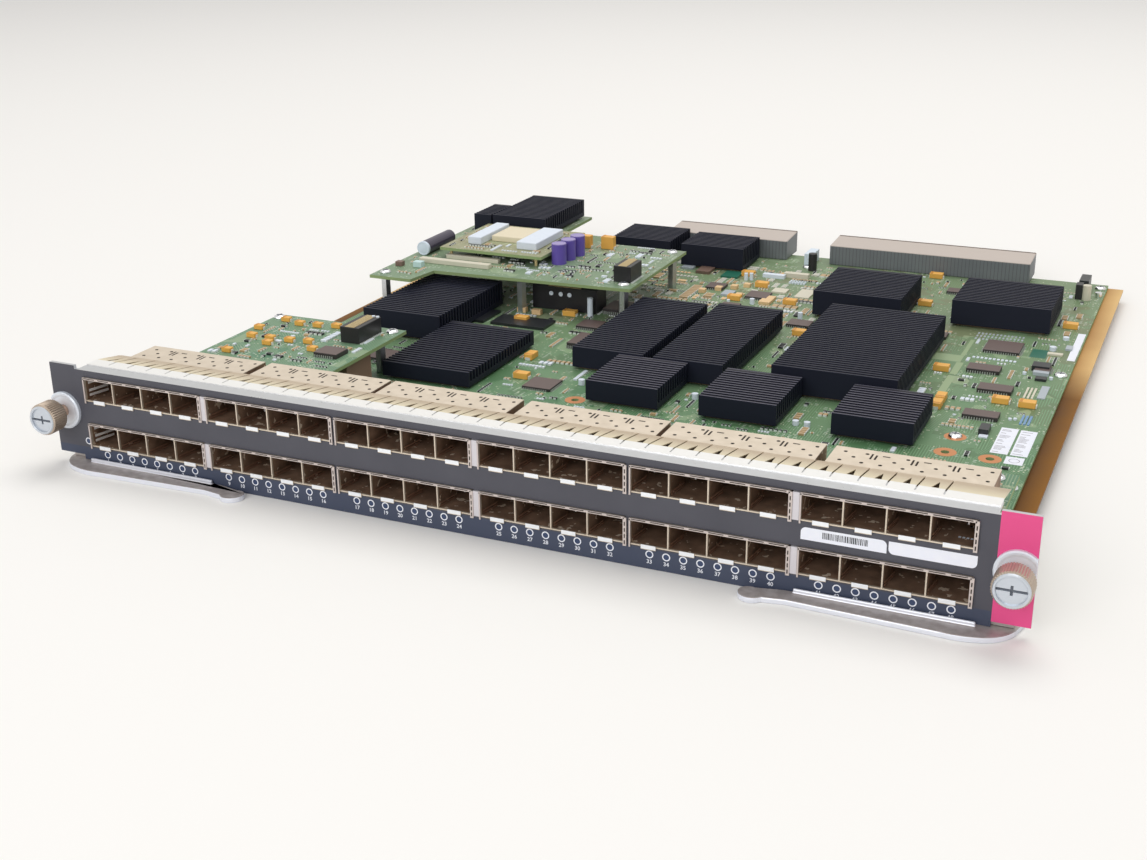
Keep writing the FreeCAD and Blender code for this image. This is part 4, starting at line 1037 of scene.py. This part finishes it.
def populate(bm, zones, low, high, top, rows, seed, kinds=(0, 0, 1, 1, 2), grown=1.0):
    """Drops rows of small parts on an area of a board. Grown makes them larger."""
    dice = random.Random(seed)
    used = list(zones)
    for _ in range(rows):
        long, short, rise = dice.choice(((1.6, 0.8, 0.5), (1.6, 0.8, 0.5), (2.0, 1.2, 0.7), (3.2, 1.6, 0.8)))
        long, short = long * grown, short * grown
        pitch, count = short + dice.choice((0.5, 0.8)), dice.choice((1, 2, 3, 4, 6, 8))
        kind = dice.choice(kinds)
        along_x = dice.random() < 0.5
        extent = Vector((long, pitch * count)) if not along_x else Vector((pitch * count, long))
        extent *= MM
        corner = Vector((dice.uniform(low.x, high.x - extent.x), dice.uniform(low.y, high.y - extent.y)))
        corner = Vector((round(value / (0.5 * MM)) * 0.5 * MM for value in corner))
        gap = 0.7 * MM
        if any(corner.x < right + gap and corner.x + extent.x > left - gap and corner.y < back + gap
               and corner.y + extent.y > front - gap for left, front, right, back in used):
            continue
        used.append((corner.x, corner.y, corner.x + extent.x, corner.y + extent.y))
        for item in range(count):
            step = item * pitch * MM
            near = Vector((corner.x + (step if along_x else 0), corner.y + (0 if along_x else step), top))
            sides = Vector((short, long, rise) if along_x else (long, short, rise)) * MM
            block(bm, near, near + sides, 3)
            inset = Vector((-0.02, 0.3, -0.02) if along_x else (0.3, -0.02, -0.02)) * MM
            block(bm, near + inset, near + sides - inset + Vector((0, 0, 0.02 * MM)), kind)


SMALL_FINISHES = [resistor, ceramic, ferrite, solder]
small = bmesh.new()
EDGE = Vector((5, 4, 0)) * MM
zones = keep_outs(main_top)
populate(small, zones, board_low + EDGE, board_high - EDGE - Vector((0, 14 * MM, 0)), main_top, 2600, 3)
piece("small_parts_main", small, SMALL_FINISHES)
small = bmesh.new()
populate(small, zones, spot(126, 262), spot(244, 372), main_top, 900, 14, (1, 1, 2, 2, 4), 1.7)
piece("small_parts_back", small, [resistor, ceramic, pale_ceramic, solder,
                                  pale_tan])
small = bmesh.new()
tongue_low, tongue_high = spot(23, 70), spot(88, 130)
populate(small, keep_outs(port_top), tongue_low, tongue_high, port_top, 200, 5)
populate(small, keep_outs(port_top), spot(372, 4), spot(377, 62), port_top, 40, 6)
piece("small_parts_port", small, SMALL_FINISHES)
small = bmesh.new()
for low, high, rows, seed in ((spot(25, 214), spot(45, 372), 60, 8), (spot(50, 240), spot(158, 316), 560, 9),
                              (spot(45, 318), spot(77, 372), 60, 10)):
    populate(small, keep_outs(daughter_top), low, high, daughter_top, rows, seed)
module_low, module_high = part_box("power_module_board")
cores = [(low.x, low.y, high.x, high.y) for low, high in solids_in("power_module_cores")]
populate(small, cores, module_low + EDGE / 3, module_high - EDGE / 3, module_high.z, 160, 12)
piece("small_parts_daughter", small, SMALL_FINISHES)

# %% [markdown]
# Some parts are not in rows. They are listed one by one, each with its own size and finish.

# %% Particular small parts
odd = bmesh.new()
for left, front, right, back, rise, kind in odd_blocks:
    slab(odd, main_top, left, front, right, back, rise, kind)
for x, y, radius, rise in odd_rods:
    post(odd, main_top, x, y, radius, rise, 4, 12)
for x, y, radius, low, high in ((78.2, 124, 0.8, 36, 36.6), (80.4, 124, 0.8, 36, 36.6),
                                (146, 264, 1.2, 8.6, 14.5), (152, 265, 1.2, 8.6, 14.5),
                                (134, 245, 1.5, 8.6, 18.5)):
    rod(odd, spot(x, y, low), spot(x, y, high), radius * MM, 4, 12)
low, high = headers[-1]
for x in (110, 115.5, 120.5):
    rod(odd, spot(x, low.y / MM - face_low.y / MM - 0.3, 17.5),
        spot(x, low.y / MM - face_low.y / MM, 17.5), 1.2 * MM, 4, 16)
piece("particular_parts", odd, [band_green, teal_mask, resistor, grey_part, ferrite, cream_plastic,
                                brown_part, pale_tan, blue_part])

# %% [markdown]
# ## Screws, rings, stickers and pins
# Pan-head screws have a cross recess, drawn as a grey cross of painted shade on the head. Bare copper rings
# surround the empty mounting holes.

# %% Pan-head screws
SCREW_PROFILE = [(2.9, 0.0), (2.9, 0.5), (2.6, 1.1), (1.9, 1.5), (0.0, 1.62)]
heads = bmesh.new()
loose_screw = (spot(338.5, 143.1, main_top / MM), spot(344.3, 148.9, main_top / MM))
for low, high in solids_in("board_screws") + [loose_screw]:
    foot = Vector(((low.x + high.x) / 2, (low.y + high.y) / 2, low.z))
    turned(heads, [(radius * MM, rise * MM) for radius, rise in SCREW_PROFILE], foot, (0, 0, 1), 0, 20)
    for long, short in ((1.6, 0.3), (0.3, 1.6)):
        reach = Vector((long, short, 0)) * MM
        block(heads, foot - reach + Vector((0, 0, 1.3 * MM)), foot + reach + Vector((0, 0, 1.66 * MM)), 1)
piece("pan_head_screws", heads, [silver, recess_shade], replaces=("board_screws",))

# %% [markdown]
# Three posts and a block stand at the rear edge. Two stickers carry rules of uneven length, and the rest
# are bare.

# %% Rings, stickers and small posts
bits = bmesh.new()
for x, y in bare_rings:
    turned(bits, [(1.75 * MM, 0), (4.6 * MM, 0), (4.6 * MM, 0.05 * MM), (1.75 * MM, 0.05 * MM),
                  (1.75 * MM, 0)],
           spot(x, y, main_top / MM), (0, 0, 1), 0, 28)
post(bits, main_top, 366.8, 372, 2.2, 8, 1)
slab(bits, main_top, 361, 371, 364.4, 377, 8, 2)
post(bits, main_top, 372.1, 380, 1.8, 2.5, 3)
post(bits, main_top, 216, 375.3, 2.4, 10, 2)
piece("board_hardware", bits, [copper, cream_plastic, black_plastic, silver])

sheets = bmesh.new()
for left, front, right, back in stickers:
    slab(sheets, main_top, left, front, right, back, 0.1)
dice = random.Random(21)
for left, front, right, back in stickers[:2]:
    line = front + 1.5
    while line < back - 2:
        long = dice.uniform(0.35, 0.8) * (right - left - 1.4)
        block(sheets, spot(left + 0.7, line, main_top / MM + 0.1),
              spot(left + 0.7 + long, line + 0.5, main_top / MM + 0.12), 1)
        line += dice.choice((1.3, 1.3, 2.8))
turned(sheets, [(1.9 * MM, 0), (2.2 * MM, 0), (2.2 * MM, 0.02 * MM), (1.9 * MM, 0.02 * MM), (1.9 * MM, 0)],
       spot(367.9, 128.3, main_top / MM + 0.1), (0, 0, 1), 1, 24)
piece("board_stickers", sheets, [paper, faint_ink])

# %% [markdown]
# The headers are black mouldings. The daughter board has two cream bars and two small blocks beside them.

# %% Headers and sockets
moulded("moulded_headers", headers, black_plastic, "pin_headers")
shells = bmesh.new()
for kind, (left, front, right, back, rise) in enumerate(sockets):
    slab(shells, daughter_top, left, front, right, back, rise, max(0, kind - 1))
piece("daughter_sockets", shells, [cream_plastic, pale_cyan, brown_part],
      replaces=("board_sockets",), bevel=0.2 * MM)

# %% [markdown]
# Seen from above, the two rows of pins in a header run together into one gold band.

# %% Header pins
pins = bmesh.new()
for low, high in headers:
    rows = int((high.y - low.y) / (1.27 * MM))
    for row in range(rows):
        y = low.y + (row + 0.5) * (high.y - low.y) / rows
        block(pins, (low.x + 0.25 * (high.x - low.x), y - 0.3 * MM, high.z),
              (low.x + 0.75 * (high.x - low.x), y + 0.3 * MM, high.z + 0.2 * MM), 0)
        for x_side, out in ((low.x, -1), (high.x, 1)):
            near, far = sorted((x_side, x_side + out * 1.3 * MM))
            block(pins, (near, y - 0.25 * MM, low.z), (far, y + 0.25 * MM, low.z + 0.3 * MM), 1)
piece("header_pins", pins, [gold, solder])

# %% [markdown]
# The plugs are almost flat on top. Their facing ends stop two or three millimetres short of the solids.

# %% Backplane plugs
PLUG_FRONT_TOP, PLUG_REAR_TOP = 20.0, 21.2
for side, left_play, right_play in (("left", 0, 3.0), ("right", 2.3, 0)):
    low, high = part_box(f"backplane_connector_{side}")
    plug = bmesh.new()
    outline = ((low.y, low.z), (high.y, low.z), (high.y, PLUG_REAR_TOP * MM), (low.y, PLUG_FRONT_TOP * MM))
    end = plug.faces.new([plug.verts.new((low.x + left_play * MM, y, z)) for y, z in outline])
    grown = bmesh.ops.extrude_face_region(plug, geom=[end])
    moved = [item for item in grown["geom"] if isinstance(item, bmesh.types.BMVert)]
    bmesh.ops.translate(plug, verts=moved, vec=(high.x - low.x - (left_play + right_play) * MM, 0, 0))
    bmesh.ops.recalc_face_normals(plug, faces=plug.faces)
    piece(f"backplane_plug_{side}", plug, [wafer],
          replaces=(f"backplane_connector_{side}",), bevel=0.5 * MM)

# %% [markdown]
# A rolled aluminium lid closes each round capacitor. The large one lies on its side.

# %% Ends of the round capacitors
lids = bmesh.new()
for low, high in solids_in("purple_capacitors"):
    foot = Vector(((low.x + high.x) / 2, (low.y + high.y) / 2, high.z - 0.3 * MM))
    turned(lids, [(3.7 * MM, 0), (4.05 * MM, 0.1 * MM), (3.8 * MM, 0.5 * MM), (3.2 * MM, 0.55 * MM),
                  (3.1 * MM, 0.4 * MM), (0, 0.4 * MM)], foot, (0, 0, 1), 0, 24)
low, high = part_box("bulk_capacitor")
middle = Vector(((low.x + high.x) / 2, low.y - 0.25 * MM, (low.z + high.z) / 2))
turned(lids, [(3.85 * MM, 1.5 * MM), (3.85 * MM, 0.1 * MM), (3.5 * MM, -0.15 * MM), (2.9 * MM, 0), (0, 0)],
       middle, (0, 1, 0), 1, 24)
piece("capacitor_lids", lids, [lilac, can_end])

# %% [markdown]
# ## Floor, background, light and camera
# The card rests on a pale floor. The world shows as a plain pale colour, and lights the card through a
# soft grey ramp. One broad light above and a weaker one in front give soft shadows.

# %% Floor
FLOOR_COLOUR = rgb(249, 247, 242)
floor_mesh = bpy.data.meshes.new("floor")
floor_form = bmesh.new()
bmesh.ops.create_grid(floor_form, x_segments=1, y_segments=1, size=40)
floor_form.to_mesh(floor_mesh)
floor_form.free()
floor = bpy.data.objects.new("floor", floor_mesh)
floor_mesh.materials.append(Finish("floor_paper", FLOOR_COLOUR, 0.9, Specular_IOR_Level=0.1).material)
bpy.context.scene.collection.objects.link(floor)
print("floor laid")

# %% [markdown]
# Only direct, mirrored and refracted views see the plain colour. All other light comes from a soft grey
# ramp.

# %% World
world = bpy.data.worlds.new("studio")
bpy.context.scene.world = world
world.use_nodes = True
tree = world.node_tree
background = tree.nodes["Background"]
rays = tree.nodes.new("ShaderNodeLightPath")
seen = rays.outputs["Is Camera Ray"]
for ray in ("Is Glossy Ray", "Is Transmission Ray"):
    either = tree.nodes.new("ShaderNodeMath")
    either.operation, either.use_clamp = "ADD", True
    tree.links.new(seen, either.inputs[0])
    tree.links.new(rays.outputs[ray], either.inputs[1])
    seen = either.outputs[0]
direction = tree.nodes.new("ShaderNodeTexCoord")
height = tree.nodes.new("ShaderNodeSeparateXYZ")
tree.links.new(direction.outputs["Generated"], height.inputs[0])
sky = tree.nodes.new("ShaderNodeValToRGB")
for stop, (position, value) in zip(sky.color_ramp.elements, ((0.0, 0.30), (0.9, 0.62))):
    stop.position, stop.color = position, (value, value, value * 1.03, 1)
tree.links.new(height.outputs[2], sky.inputs[0])
shown = tree.nodes.new("ShaderNodeMix")
shown.data_type = "RGBA"
tree.links.new(seen, shown.inputs[0])
tree.links.new(sky.outputs[0], shown.inputs[6])
shown.inputs[7].default_value = (*rgb(238, 236, 231), 1)
tree.links.new(shown.outputs[2], background.inputs["Color"])
background.inputs["Strength"].default_value = 1.0
print("world set")


# %% [markdown]
# The light above is warm like a window, and the one in front is a little cooler.

# %% Lights
def area_light(name, place, aim, width, depth, power, colour=(1, 1, 1)):
    """A rectangular light that looks at a point."""
    lamp = bpy.data.lights.new(name, "AREA")
    lamp.shape, lamp.size, lamp.size_y, lamp.energy, lamp.color = "RECTANGLE", width, depth, power, colour
    holder = bpy.data.objects.new(name, lamp)
    bpy.context.scene.collection.objects.link(holder)
    holder.location = place
    holder.rotation_euler = (Vector(aim) - Vector(place)).to_track_quat("-Z", "Y").to_euler()


area_light("window_light", (0.1, 0.7, 2.3), (0, 0, 0), 2.1, 1.7, 27.0, (1.0, 0.985, 0.96))
area_light("front_fill", (-0.1, -2.2, 1.0), (0, 0, 0.02), 1.8, 1.0, 20.0, (0.97, 0.98, 1.0))
print("two lights hung")

# %% [markdown]
# The camera stands in front, to the right and above, and looks down along the row of ports.

# %% Camera
camera_data = bpy.data.cameras.new("camera")
camera_data.lens, camera_data.sensor_width, camera_data.clip_start = 47.32, 36, 0.01
camera = bpy.data.objects.new("camera", camera_data)
CAMERA_PLACE, PAN, DOWN, ROLL = (0.24024, -0.64430, 0.23793), 24.438, 21.236, -0.673
turn = (Matrix.Rotation(math.radians(PAN), 4, "Z") @ Matrix.Rotation(math.radians(90 - DOWN), 4, "X")
        @ Matrix.Rotation(math.radians(ROLL), 4, "Z"))
camera.matrix_world = Matrix.Translation(CAMERA_PLACE) @ turn
bpy.context.scene.collection.objects.link(camera)
bpy.context.scene.camera = camera
bpy.context.scene.view_settings.view_transform = "Standard"
print("camera turned", PAN, "degrees and tipped down", DOWN)

# %% [markdown]
